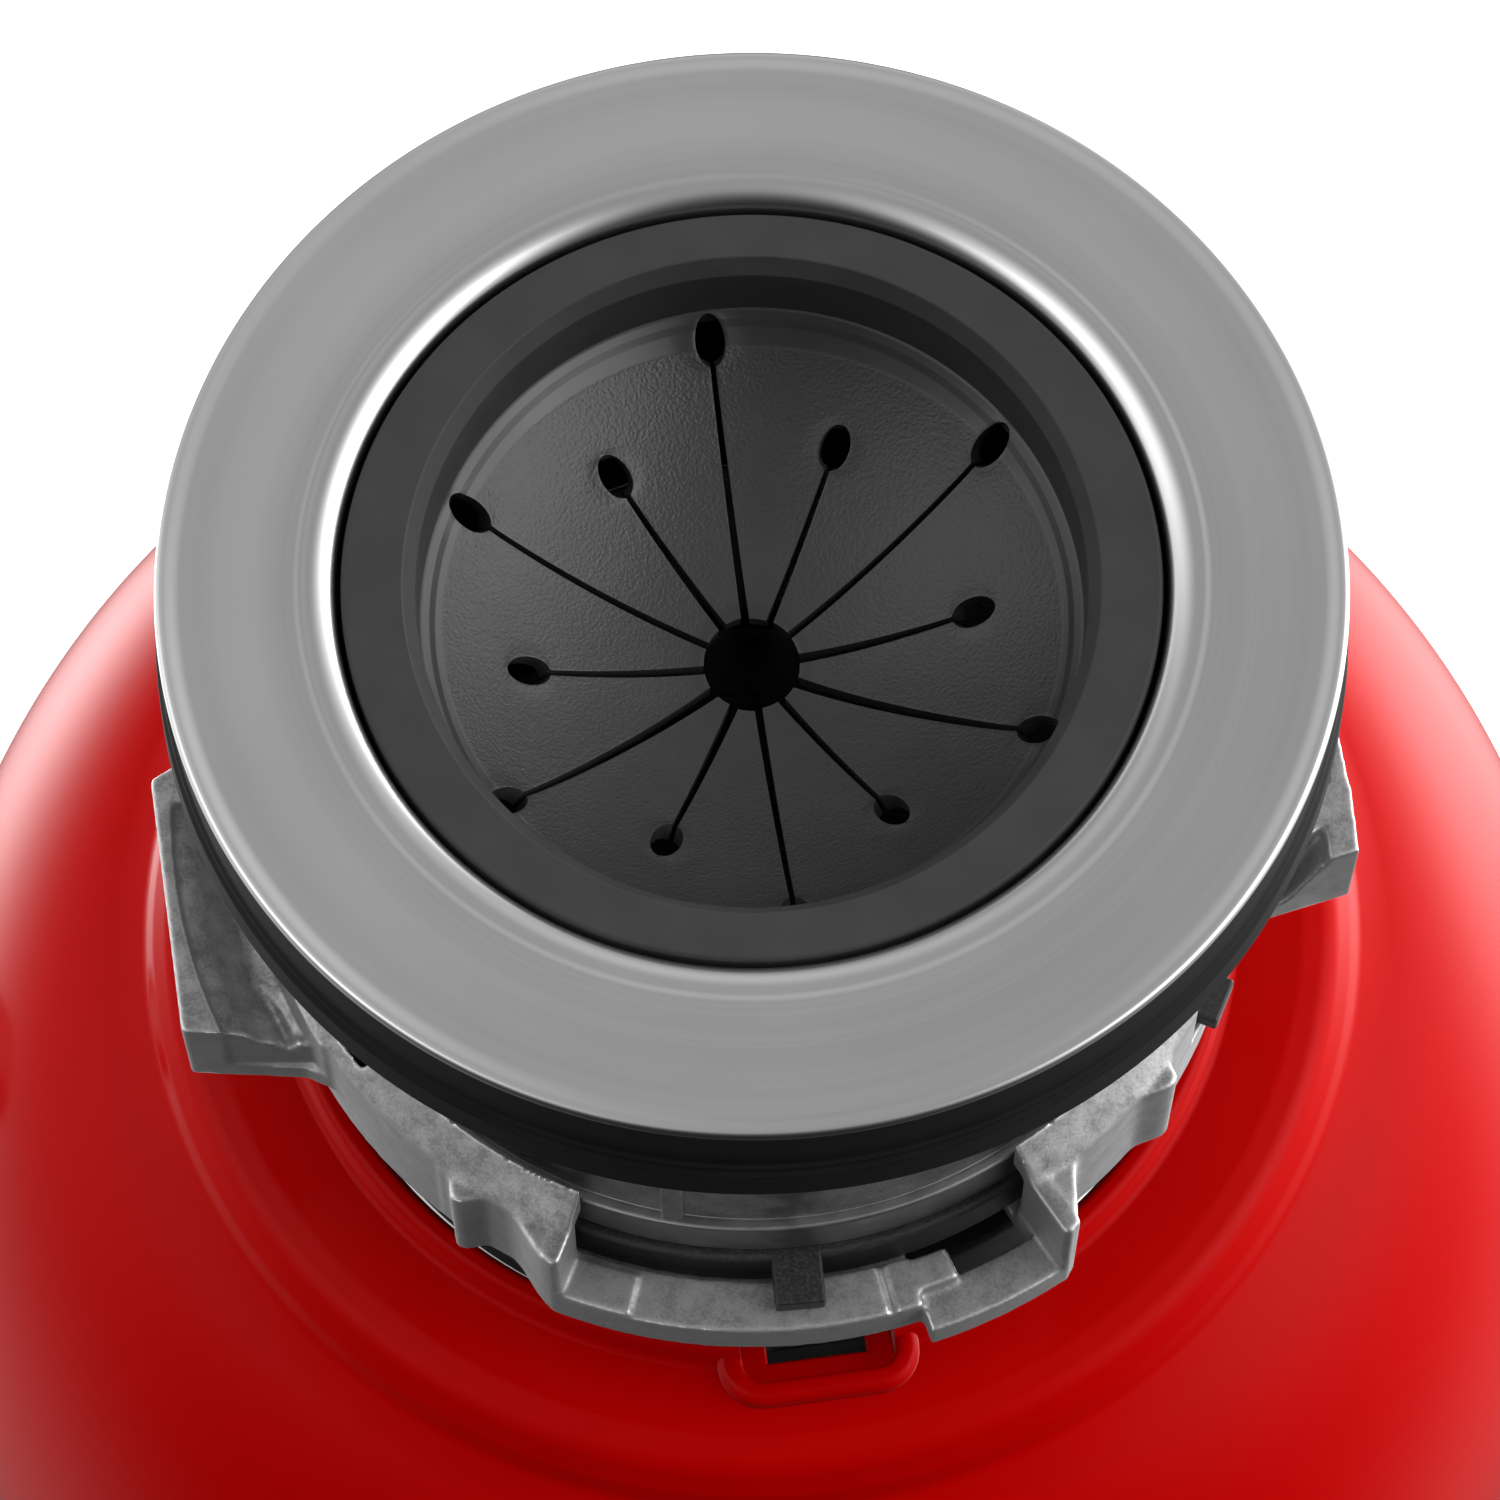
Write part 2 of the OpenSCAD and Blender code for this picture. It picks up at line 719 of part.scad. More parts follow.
module dishwasher_plug() {
    color("gray") along_inlet(92) cylinder(r = inlet_r - 2.2, h = 2);
}

module at_bolts() {
    for (a = [45:90:315]) rotate([0, 0, a]) translate([72, 0, 0]) children();
}

module upper_end_bell() {
    color("gray") difference() {
        union() {
            translate([0, 0, bell_z]) cylinder(r = 80, h = chamber_bottom - bell_z - seat_gap);
            translate([0, 0, bell_z - 9]) cylinder(r = 19, h = 10);
            tube(76, 80, 118, bell_z - 118 + 1);
        }
        translate([0, 0, bell_z - 10]) cylinder(r = 13, h = 30);
        at_bolts() translate([0, 0, 130]) cylinder(r = 2.6, h = 20);
    }
}

module lower_end_bell() {
    color("gray") difference() {
        union() {
            translate([0, 0, 38]) cylinder(r = 78, h = 5);
            translate([0, 0, 29]) cylinder(r = 19, h = 10);
            tube(74.9, 78, 42, 14);
        }
        translate([0, 0, 30]) cylinder(r = 13, h = 30);
        translate([0, 0, 27]) cylinder(r = shaft_r + 1, h = 10);
        at_bolts() translate([0, 0, 30]) cylinder(r = 2.6, h = 20);
        for (i = [0:3]) rotate([0, 0, i * 90]) translate([42, 0, 30]) cylinder(r = 11, h = 20);
    }
}

module stator_core() {
    color("dimgray") translate([0, 0, stator_z]) difference() {
        cylinder(r = stator_r, h = stack_len);
        translate([0, 0, -1]) cylinder(r = 34, h = stack_len + 2);
        for (i = [0:23]) rotate([0, 0, i * 15]) translate([36, -1.6, -1]) cube([12, 3.2, stack_len + 2]);
    }
}

module field_windings() {
    color("orangered") {
        tube(38, 56, stator_z + stack_len + 0.5, 15);
        tube(38, 56, stator_z - 13.5, 13);
    }
}

module rotor_core() {
    color("gray") tube(shaft_r, 33.6, stator_z, stack_len);
}

module rotor_end_rings() {
    color("lightgray") for (z = [stator_z - 6, stator_z + stack_len]) {
        tube(22, 32, z, 6);
    }
}

module through_bolts() {
    color("silver") at_bolts() {
        translate([0, 0, 34]) cylinder(r = 5, h = 4, $fn = 6);
        translate([0, 0, 38]) cylinder(r = 2.5, h = chamber_bottom - 1 - 38);
    }
}

module run_capacitor() {
    color("steelblue") translate([-8, 46, 12]) cylinder(r = 13, h = 24);
}

module start_relay() {
    color("ivory") translate([28, -14, 12]) cube([26, 28, 20]);
}

module overload_protector() {
    color("black") difference() {
        translate([-11, -74, 18]) cube([22, 26, 20 - 0.5]);
        translate([0, -60, 30]) rotate([90, 0, 0]) cylinder(r = 4.2, h = 30);
    }
}

reset_travel = 3;

module reset_button() {
    color("red") {
        translate([0, -66, 30]) rotate([90, 0, 0]) cylinder(r = 3.9, h = 26.5);
        translate([0, -79, 30]) rotate([90, 0, 0]) cylinder(r = 5.4, h = 13.5);
    }
}

module terminal_box() {
    color("lightgray") difference() {
        translate([-59.5, -21.5, 9.2]) cube([37, 43, 22]);
        translate([-58, -20, 8]) cube([34, 40, 21.5]);
    }
}

module terminal_cover() {
    color("lightgray") difference() {
        translate([-57.6, -19.6, 6.2]) cube([33.2, 39.2, 1.5]);
        translate([-41, 0, 5]) cylinder(r = 2.2, h = 6);
    }
}

module terminal_screw() {
    color("silver") {
        translate([-41, 0, 4.2]) cylinder(r = 4, h = 2);
        translate([-41, 0, 6.2]) cylinder(r = 2, h = 8);
    }
}

module ground_screw() {
    color("green") {
        translate([-52, 12, 27.5]) cylinder(r = 3.5, h = 2);
        translate([-52, 12, 22]) cylinder(r = 4, h = 3, $fn = 6);
        translate([-52, 12, 22]) cylinder(r = 2, h = 7);
    }
}

module cable_gland() {
    color("black") translate([0, 0, 34]) difference() {
        union() {
            translate([0, 80, 0]) rotate([-90, 0, 0]) cylinder(r = 8.8, h = 16);
            translate([0, 93.4, 0]) rotate([-90, 0, 0]) cylinder(r = 12, h = 3);
            translate([0, 96.4, 0]) rotate([-90, 0, 0]) cylinder(r = 7.5, h = 3);
        }
        translate([0, 78, 0]) rotate([-90, 0, 0]) cylinder(r = cable_d / 2, h = 30);
    }
}

sink_flange();
splash_guard();
sink_gasket();
fibre_gasket();
backup_ring();
mounting_ring();
mounting_screws();
snap_ring();
lock_ring();
cushion_collar();
neck_boot();
hopper();
upper_shell();
port_insert();
insulation_liner();
trim_band();
lower_shell();
shell_screws();
base_cover();
base_screws();
shredder_ring();
turntable();
lug_a();
lug_b();
lug_rivets();
turntable_nut();
motor_shaft();
water_slinger();
shaft_seal();
upper_bearing();
lower_bearing();
chamber_gasket();
drain_chamber();
discharge_gasket();
discharge_flange();
discharge_elbow();
discharge_screws();
dishwasher_plug();
upper_end_bell();
lower_end_bell();
stator_core();
field_windings();
rotor_core();
rotor_end_rings();
through_bolts();
run_capacitor();
start_relay();
overload_protector();
reset_button();
terminal_box();
terminal_cover();
terminal_screw();
ground_screw();
cable_gland();
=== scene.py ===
"""Looks of a kitchen garbage disposal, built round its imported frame.

Lengths are millimetres until a mesh is made, and angles are degrees until they are used.
"""

import json
import math

import bmesh
import bpy
import numpy as np
from mathutils import Matrix, Vector

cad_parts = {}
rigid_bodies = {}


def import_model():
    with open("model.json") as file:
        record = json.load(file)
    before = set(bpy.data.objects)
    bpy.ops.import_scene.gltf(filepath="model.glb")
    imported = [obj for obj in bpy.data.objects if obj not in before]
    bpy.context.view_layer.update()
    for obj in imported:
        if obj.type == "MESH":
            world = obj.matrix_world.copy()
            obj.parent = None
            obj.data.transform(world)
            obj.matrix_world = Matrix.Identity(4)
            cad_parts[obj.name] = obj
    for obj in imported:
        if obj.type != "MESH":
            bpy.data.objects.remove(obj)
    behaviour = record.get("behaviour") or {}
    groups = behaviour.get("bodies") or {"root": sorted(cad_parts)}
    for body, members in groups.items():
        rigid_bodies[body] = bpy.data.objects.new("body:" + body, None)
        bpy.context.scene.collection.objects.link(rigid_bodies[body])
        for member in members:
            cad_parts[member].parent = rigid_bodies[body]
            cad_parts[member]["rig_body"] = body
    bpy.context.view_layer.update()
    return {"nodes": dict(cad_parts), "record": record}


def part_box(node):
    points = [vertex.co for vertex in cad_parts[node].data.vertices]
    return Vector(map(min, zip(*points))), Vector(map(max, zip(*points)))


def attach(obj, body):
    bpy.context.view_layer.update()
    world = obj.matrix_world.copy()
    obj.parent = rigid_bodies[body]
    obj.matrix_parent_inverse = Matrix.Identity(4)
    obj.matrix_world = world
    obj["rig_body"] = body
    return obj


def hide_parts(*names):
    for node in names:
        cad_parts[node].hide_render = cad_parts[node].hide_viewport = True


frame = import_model()

MM = 0.001
RECORD = frame["record"]
SLOT_OF = {part["node"]: part["material_slot"] for part in RECORD["subparts"]}
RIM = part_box("sink_flange")[1].z / MM       # height of the flange's rim
FLANGE_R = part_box("sink_flange")[1].x / MM
BODY_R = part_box("upper_shell")[1].y / MM
SHELL_TOP = RIM - 84                        # top of the dome's neck ridge
SHELL_FOOT = 112
AXIS = 0.01                                 # radius that stands for the axis in a solid lathe
SHARP = 0.12                                # fillet of a corner that states none
X_AXIS = Matrix.Rotation(math.pi / 2, 4, "Y")   # turns +Z to +X
Y_AXIS = Matrix.Rotation(-math.pi / 2, 4, "X")  # turns +Z to +Y


# ---------------------------------------------------------------- outlines and lathes

def ease(x, a, b):
    """Goes smoothly from 0 to 1 as x goes from a to b."""
    t = min(1.0, max(0.0, (x - a) / (b - a)))
    return t * t * (3 - 2 * t)


def unit(v):
    return v / (np.linalg.norm(v) + 1e-12)


def outline(corners, arc_steps=4):
    """Points and outward normals round a closed outline.

    A corner is (x, y) or (x, y, fillet radius), and (x, y, None) is a point on a smooth curve.
    """
    flat = np.array([c[:2] for c in corners], float)
    turned = np.roll(flat, -1, 0)
    if np.sum(flat[:, 0] * turned[:, 1] - turned[:, 0] * flat[:, 1]) < 0:
        corners, flat = corners[::-1], flat[::-1]
    points, normals = [], []
    for i, corner in enumerate(corners):
        here, before, after = flat[i], flat[i - 1], flat[(i + 1) % len(flat)]
        if len(corner) > 2 and corner[2] is None:
            along = unit(unit(here - before) + unit(after - here))
            points.append(here)
            normals.append((along[1], -along[0]))
            continue
        radius = corner[2] if len(corner) > 2 else SHARP
        back, on = unit(before - here), unit(after - here)
        half = math.acos(np.clip(back @ on, -1, 1)) / 2
        reach = min(radius / math.tan(half), 0.48 * np.linalg.norm(before - here),
                    0.48 * np.linalg.norm(after - here))
        radius = reach * math.tan(half)
        start, end = here + back * reach, here + on * reach
        if radius < 1e-4 or half > 1.55:
            along = unit(on - back)
            points.append(here)
            normals.append((along[1], -along[0]))
            continue
        centre = here + unit(back + on) * radius / math.sin(half)
        edge_normal = np.array([-back[1], back[0]])
        sign = 1 if edge_normal @ (start - centre) > 0 else -1
        a0 = math.atan2(*(start - centre)[::-1])
        sweep = (math.atan2(*(end - centre)[::-1]) - a0 + math.pi) % (2 * math.pi) - math.pi
        steps = max(2, round(arc_steps * abs(sweep) / (math.pi / 2)))
        for k in range(steps + 1):
            a = a0 + sweep * k / steps
            way = np.array([math.cos(a), math.sin(a)])
            points.append(centre + radius * way)
            normals.append(tuple(sign * way))
    return np.array(points), np.array(normals)


def make(name, points, faces, normals=None, turn=None):
    """A mesh object from points in millimetres, with exact normals where they are given."""
    points = np.asarray(points, float) * MM
    mesh = bpy.data.meshes.new(name)
    mesh.from_pydata(points.tolist(), [], faces)
    mesh.shade_smooth()
    if normals is not None:
        mesh.normals_split_custom_set_from_vertices(np.asarray(normals, float).tolist())
    obj = bpy.data.objects.new(name, mesh)
    bpy.context.scene.collection.objects.link(obj)
    if turn is not None:
        mesh.transform(turn)
    return obj


def grid_faces(rows, columns, first=0, wrap_rows=True, wrap_columns=True):
    """Quads between rows of a grid, whose points run along each row."""
    faces = []
    for i in range(rows if wrap_rows else rows - 1):
        for j in range(columns if wrap_columns else columns - 1):
            a, b = i * columns, (i + 1) % rows * columns
            j2 = (j + 1) % columns
            faces.append((first + a + j, first + a + j2, first + b + j2, first + b + j))
    return faces


def lathe(name, corners, base=RIM, segments=256, turn=None, shape=None, arc_steps=4):
    """A closed solid turned round Z from an outline of (radius, height above base) corners.

    shape(points) may then move the points, as for flutes.
    """
    section, section_normals = outline(corners, arc_steps)
    a = np.linspace(0, 2 * math.pi, segments, endpoint=False)
    cos, sin = np.cos(a), np.sin(a)
    points = np.stack([np.outer(section[:, 0], cos), np.outer(section[:, 0], sin),
                       np.repeat(section[:, 1:2] + base, segments, 1)], -1).reshape(-1, 3)
    normals = np.stack([np.outer(section_normals[:, 0], cos), np.outer(section_normals[:, 0], sin),
                        np.repeat(section_normals[:, 1:2], segments, 1)], -1).reshape(-1, 3)
    if shape is not None:
        points, normals = shape(points), None
    return make(name, points, grid_faces(len(section), segments), normals, turn)


def prism(name, corners, low, high, edge=0.3, turn=None):
    """A plate with an outline of (x, y) corners and rounded edges, between two heights."""
    steps = 3
    corners = [c if len(c) > 2 and c[2] is None else (*c[:2], max(1.05 * edge, *c[2:], 0.02))
               for c in corners]
    ring, ring_normals = outline(corners)
    n = len(ring)
    points, normals = [], []
    for height, side in ((low, -1), (high, 1)):
        bends = range(steps + 1) if side < 0 else range(steps, -1, -1)
        for k in bends:
            t = math.pi / 2 * k / steps
            inset = edge * (1 - math.sin(t))
            z = height - side * edge * (1 - math.cos(t))
            points += [(*(p - m * inset), z) for p, m in zip(ring, ring_normals)]
            normals += [(*(m * math.sin(t)), side * math.cos(t)) for m in ring_normals]
    rows = len(points) // n
    faces = grid_faces(rows, n, wrap_rows=False)
    faces += [tuple(range(n))[::-1], tuple(range((rows - 1) * n, rows * n))]
    return make(name, points, faces, normals, turn)


def joined(objects):
    """One object made of several, with the normals they had."""
    points, faces, normals = [], [], []
    for obj in objects:
        first = len(points)
        points += [tuple(v.co / MM) for v in obj.data.vertices]
        faces += [tuple(first + v for v in face.vertices) for face in obj.data.polygons]
        normals += [tuple(corner.vector) for corner in obj.data.corner_normals]
    name = objects[0].name
    for obj in objects:
        bpy.data.objects.remove(obj)
    whole = make(name, points, faces)
    whole.data.normals_split_custom_set(normals)
    return whole


def applied(obj):
    """Applies an object's modifiers."""
    depsgraph = bpy.context.evaluated_depsgraph_get()
    mesh = bpy.data.meshes.new_from_object(obj.evaluated_get(depsgraph))
    obj.modifiers.clear()
    obj.data = mesh
    return obj


def cut(obj, *cutters):
    """Cuts closed meshes out of an object and removes them."""
    for cutter in cutters:
        boolean = obj.modifiers.new("cut", "BOOLEAN")
        boolean.operation, boolean.solver, boolean.object = "DIFFERENCE", "EXACT", cutter
    applied(obj)
    for cutter in cutters:
        bpy.data.objects.remove(cutter)
    return obj


def flat_edges(obj, angle=28):
    """Smooth shading that breaks at edges sharper than an angle."""
    obj.data.shade_smooth()
    obj.data.set_sharp_from_angle(angle=math.radians(angle))
    return obj


# ---------------------------------------------------------------- materials

class Look:
    """A procedural material: a Principled shader with helpers that add its grain and colour."""

    def __init__(self, name, rough=0.4, metal=0.0, **sockets):
        self.material = bpy.data.materials.new(name)
        self.material.use_nodes = True
        self.tree = self.material.node_tree
        self.shader = self.tree.nodes["Principled BSDF"]
        self.shader.inputs["Roughness"].default_value = rough
        self.shader.inputs["Metallic"].default_value = metal
        for socket, value in sockets.items():
            self.shader.inputs[socket.replace("_", " ")].default_value = value
        self.place = self.node("ShaderNodeTexCoord").outputs["Object"]
        self.heights = []

    def node(self, kind, **settings):
        made = self.tree.nodes.new(kind)
        for key, value in settings.items():
            setattr(made, key, value)
        return made

    def link(self, a, b):
        self.tree.links.new(a, b)

    def noise(self, size, detail=3.0, roughness=0.55, place=None):
        """Noise with features of a size in millimetres."""
        made = self.node("ShaderNodeTexNoise")
        made.inputs["Scale"].default_value = 1 / (size * MM)
        made.inputs["Detail"].default_value = detail
        made.inputs["Roughness"].default_value = roughness
        self.link(place or self.place, made.inputs["Vector"])
        return made.outputs["Fac"]

    def cells(self, size, feature="F1"):
        made = self.node("ShaderNodeTexVoronoi", feature=feature)
        made.inputs["Scale"].default_value = 1 / (size * MM)
        self.link(self.place, made.inputs["Vector"])
        return made.outputs["Distance"]

    def math(self, operation, a, b):
        made = self.node("ShaderNodeMath", operation=operation)
        for socket, value in zip(made.inputs, (a, b)):
            if isinstance(value, (int, float)):
                socket.default_value = value
            else:
                self.link(value, socket)
        return made.outputs[0]

    def remap(self, value, low, high, to_low=0.0, to_high=1.0):
        made = self.node("ShaderNodeMapRange", interpolation_type="SMOOTHSTEP")
        self.link(value, made.inputs["Value"])
        for key, number in zip(("From Min", "From Max", "To Min", "To Max"), (low, high, to_low, to_high)):
            made.inputs[key].default_value = number
        return made.outputs["Result"]

    def radius(self):
        """Distance from the motor axis, in millimetres."""
        flat = self.node("ShaderNodeVectorMath", operation="MULTIPLY")
        flat.inputs[1].default_value = (1 / MM, 1 / MM, 0)
        self.link(self.place, flat.inputs[0])
        length = self.node("ShaderNodeVectorMath", operation="LENGTH")
        self.link(flat.outputs[0], length.inputs[0])
        return length.outputs["Value"]

    def height(self):
        """Height above the base, in millimetres."""
        split = self.node("ShaderNodeSeparateXYZ")
        self.link(self.place, split.inputs[0])
        return self.math("MULTIPLY", split.outputs["Z"], 1 / MM)

    def lathe_place(self):
        """A texture place that changes only across the tool marks of a turned part."""
        joined_up = self.node("ShaderNodeCombineXYZ")
        self.link(self.math("MULTIPLY", self.radius(), MM), joined_up.inputs["X"])
        self.link(self.math("MULTIPLY", self.height(), MM), joined_up.inputs["Z"])
        return joined_up.outputs[0]

    def tones(self, factor, *stops):
        """Base colour from a factor, by (position, colour) stops."""
        self.colour(self.ramp(factor, *stops))

    def ramp(self, factor, *stops):
        made = self.node("ShaderNodeValToRGB")
        self.link(factor, made.inputs[0])
        elements = made.color_ramp.elements
        while len(elements) < len(stops):
            elements.new(0.5)
        for element, (position, colour) in zip(elements, stops):
            element.position = position
            element.color = (*colour, 1)
        return made.outputs[0]

    def blend(self, factor, a, b):
        """Mixes two colours by a factor."""
        made = self.node("ShaderNodeMix", data_type="RGBA")
        self.link(factor, made.inputs["Factor"])
        for socket, value in ((made.inputs[6], a), (made.inputs[7], b)):
            if isinstance(value, tuple):
                socket.default_value = (*value, 1)
            else:
                self.link(value, socket)
        return made.outputs[2]

    def colour(self, value):
        self.link(value, self.shader.inputs["Base Color"])

    def gloss(self, factor, rough_low, rough_high):
        """Roughness that follows a factor."""
        self.link(self.remap(factor, 0.3, 0.7, rough_low, rough_high), self.shader.inputs["Roughness"])

    def bump(self, height, depth):
        """Adds a relief of a depth in millimetres to those before it."""
        made = self.node("ShaderNodeBump")
        made.inputs["Distance"].default_value = depth * MM
        self.link(height, made.inputs["Height"])
        if self.heights:
            self.link(self.heights[-1], made.inputs["Normal"])
        self.heights.append(made.outputs[0])
        self.link(made.outputs[0], self.shader.inputs["Normal"])
        return self


def grey(value, warm=0.0):
    return (value * (1 + warm), value, value * (1 - warm))


def plain(name, dark, light, rough, grain, depth, metal=0.0, mottle=6.0):
    """A moulded, plated or painted surface: two close tones, uneven gloss and a fine grain."""
    look = Look(name, metal=metal)
    patches = look.noise(mottle, 4)
    look.tones(patches, (0.35, dark), (0.65, light))
    look.gloss(patches, rough - 0.05, rough + 0.05)
    look.bump(look.noise(grain, 2), depth)
    return look.material


def flange_steel():
    """Satin spun steel: faint rings and a slow drift in gloss."""
    look = Look("flange_steel", metal=1.0, Anisotropic=0.25)
    drift = look.noise(30, 2)
    rings = look.noise(0.5, 3, place=look.lathe_place())
    look.tones(drift, (0.3, grey(0.68)), (0.7, grey(0.72)))
    look.gloss(rings, 0.23, 0.27)
    return look.bump(rings, 0.0012).bump(look.noise(0.09, 2), 0.0008).material


def turned_steel(name, tone, rough):
    look = Look(name, metal=1.0)
    rings = look.noise(0.7, 4, place=look.lathe_place())
    look.tones(rings, (0.3, grey(tone * 0.9)), (0.7, grey(tone)))
    look.gloss(rings, rough - 0.05, rough + 0.06)
    return look.bump(rings, 0.004).material


def rim_rubber():
    """Matt charcoal rubber with a very fine tooth."""
    look = Look("guard_rim_rubber", Specular_IOR_Level=0.35)
    tone = look.noise(5, 4)
    look.tones(tone, (0.3, grey(0.041)), (0.7, grey(0.05)))
    look.gloss(tone, 0.5, 0.6)
    return look.bump(look.noise(0.22, 3), 0.012).material


def flap_rubber():
    """Moulded rubber: a pebble grain inside a smooth border and a smooth ring round the hub."""
    look = Look("guard_flap_rubber", Specular_IOR_Level=0.55)
    tone = look.noise(7, 4)
    look.tones(tone, (0.3, grey(0.026)), (0.7, grey(0.034)))
    radius = look.radius()
    inside = look.remap(radius, 30.4, 30.0)
    outside = look.remap(radius, 5.6, 7.4)
    mask = look.math("MULTIPLY", inside, outside)
    pebbles = look.math("ADD", look.cells(0.36, "SMOOTH_F1"), look.noise(0.26, 2))
    look.link(look.remap(mask, 0.0, 1.0, 0.3, 0.38), look.shader.inputs["Roughness"])
    look.bump(look.math("MULTIPLY", pebbles, mask), 0.045)
    return look.bump(look.noise(0.12, 2), 0.006).material


def gasket_rubber(name="gasket_rubber", tone=0.013):
    look = Look(name, Specular_IOR_Level=0.14)
    wear = look.noise(9, 5)
    look.tones(wear, (0.3, grey(tone)), (0.75, grey(tone * 1.4)))
    look.gloss(wear, 0.5, 0.62)
    marks = look.noise(0.35, 4, place=look.lathe_place())
    return look.bump(marks, 0.012).bump(look.noise(0.2, 2), 0.006).material


def collar_rubber():
    look = Look("collar_rubber", Specular_IOR_Level=0.5)
    specks = look.noise(0.35, 4, 0.7)
    look.tones(specks, (0.42, grey(0.016)), (0.72, grey(0.05)))
    look.gloss(specks, 0.35, 0.55)
    return look.bump(specks, 0.05).bump(look.noise(0.13, 2), 0.02).material


def cast_aluminium():
    """Die-cast metal: mottled, speckled upper faces, smoother walls, and edges that are polished (lower
    roughness) and painted a lighter grey as a painted highlight.
    """
    look = Look("cast_aluminium", metal=0.7)
    geometry = look.node("ShaderNodeNewGeometry")
    split = look.node("ShaderNodeSeparateXYZ")
    look.link(geometry.outputs["Normal"], split.inputs[0])
    facing_up = look.remap(split.outputs["Z"], 0.35, 0.85)
    patches = look.noise(2.6, 6, 0.68)
    specks = look.noise(0.32, 3, 0.7)
    dirt = look.math("ADD", look.math("MULTIPLY", patches, 0.62), look.math("MULTIPLY", specks, 0.38))
    stained = look.ramp(dirt, (0.40, grey(0.26)), (0.49, grey(0.38)), (0.60, grey(0.50)))
    clean = look.ramp(patches, (0.3, grey(0.40)), (0.7, grey(0.52)))
    body = look.blend(facing_up, clean, stained)
    # Convex edges are painted light grey as a painted highlight along them; the lower roughness there is the
    # real polish.
    edge = look.remap(geometry.outputs["Pointiness"], 0.508, 0.55)
    look.colour(look.blend(edge, body, grey(0.68)))
    uneven = look.remap(dirt, 0.4, 0.62, 0.56, 0.44)
    polished = look.math("MULTIPLY", uneven, look.remap(edge, 0, 1, 1.0, 0.5))
    look.link(polished, look.shader.inputs["Roughness"])
    return look.bump(specks, 0.02).bump(patches, 0.05).material


def red_gloss():
    look = Look("red_gloss", Specular_IOR_Level=0.0, Coat_Weight=1.0, Coat_IOR=1.15,
                Coat_Roughness=0.15)
    drift = look.noise(45, 2)
    look.tones(drift, (0.3, (0.60, 0.0, 0.0)), (0.7, (0.64, 0.0, 0.0)))
    look.gloss(look.noise(12, 4), 0.22, 0.3)
    return look.bump(look.noise(2.2, 2), 0.0025).material


def foam():
    look = Look("foam", rough=0.75)
    beads = look.cells(3.2)
    look.tones(beads, (0.1, grey(0.80, 0.01)), (0.6, grey(0.62, 0.02)))
    return look.bump(beads, -0.25).material


def laminations():
    look = Look("lamination", metal=0.8)
    sheets = look.noise(0.6, 1, place=look.lathe_place())
    look.tones(sheets, (0.35, grey(0.10)), (0.65, grey(0.28)))
    look.gloss(sheets, 0.35, 0.5)
    return look.bump(sheets, 0.05).material


def windings():
    look = Look("copper_winding", metal=0.9, Coat_Weight=0.5, Coat_Roughness=0.2)
    turns = look.node("ShaderNodeTexWave", wave_type="RINGS", rings_direction="Z")
    turns.inputs["Scale"].default_value = 1 / (3.4 * MM)
    turns.inputs["Distortion"].default_value = 1.5
    look.link(look.place, turns.inputs["Vector"])
    look.tones(turns.outputs["Fac"], (0.2, (0.20, 0.06, 0.02)), (0.8, (0.62, 0.25, 0.10)))
    look.gloss(look.noise(3, 3), 0.25, 0.4)
    return look.bump(turns.outputs["Fac"], 0.3).material


def casting():
    look = Look("cast_iron_grey", metal=0.3)
    skin = look.noise(1.1, 5, 0.65)
    look.tones(skin, (0.35, grey(0.12)), (0.65, grey(0.2)))
    look.gloss(skin, 0.45, 0.62)
    return look.bump(skin, 0.12).material


LOOKS = {
    "flange_steel": flange_steel(),
    "guard_rubber": rim_rubber(),
    "gasket_rubber": gasket_rubber(),
    "collar_rubber": collar_rubber(),
    "plated_steel": plain("plated_steel", grey(0.42, 0.02), grey(0.56, 0.03), 0.3, 0.4, 0.004, 1.0),
    "cast_aluminium": cast_aluminium(),
    "stainless": turned_steel("stainless", 0.6, 0.3),
    "red_gloss": red_gloss(),
    "black_plastic": plain("black_plastic", grey(0.014), grey(0.022), 0.42, 0.25, 0.012),
    "foam": foam(),
    "cast_iron_grey": casting(),
    "bearing_bronze": plain("bearing_bronze", (0.40, 0.24, 0.10), (0.58, 0.36, 0.16), 0.4, 0.3, 0.02,
                            1.0),
    "copper_winding": windings(),
    "lamination": laminations(),
    "grey_fibre": plain("grey_fibre", grey(0.08), grey(0.15), 0.8, 0.5, 0.05, mottle=1.2),
    "relay_plastic": plain("relay_plastic", (0.60, 0.56, 0.44), (0.68, 0.64, 0.52), 0.4, 0.5, 0.01),
    "capacitor_can": plain("capacitor_can", (0.05, 0.10, 0.22), (0.07, 0.14, 0.28), 0.25, 0.8, 0.01),
    "button_red": plain("button_red", (0.50, 0.01, 0.01), (0.58, 0.02, 0.02), 0.3, 0.4, 0.006),
    "ground_green": plain("ground_green", (0.02, 0.22, 0.06), (0.03, 0.30, 0.09), 0.35, 0.5, 0.006,
                          0.3),
}


def place(obj, node, look=None):
    """Makes a piece stand for a CAD node: it rides on its body and takes its slot and look."""
    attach(obj, frame["nodes"][node]["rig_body"])
    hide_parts(node)
    slot = SLOT_OF[node]
    obj.data.materials.clear()
    obj.data.materials.append(look or LOOKS[slot])
    return obj


def centre_z(node):
    low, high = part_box(node)
    return (low.z + high.z) / 2 / MM


def at_x(x, z, y=0.0):
    """Points a lathe or a prism along +X, from a place."""
    return Matrix.Translation((x * MM, y * MM, z * MM)) @ X_AXIS


def cutter(r, low, high, base=0, segments=96, turn=None):
    """A solid cylinder to cut with."""
    return lathe("cutter", [(AXIS, low), (r, low), (r, high), (AXIS, high)], base, segments, turn)


# ---------------------------------------------------------------- sink flange, guard and gaskets

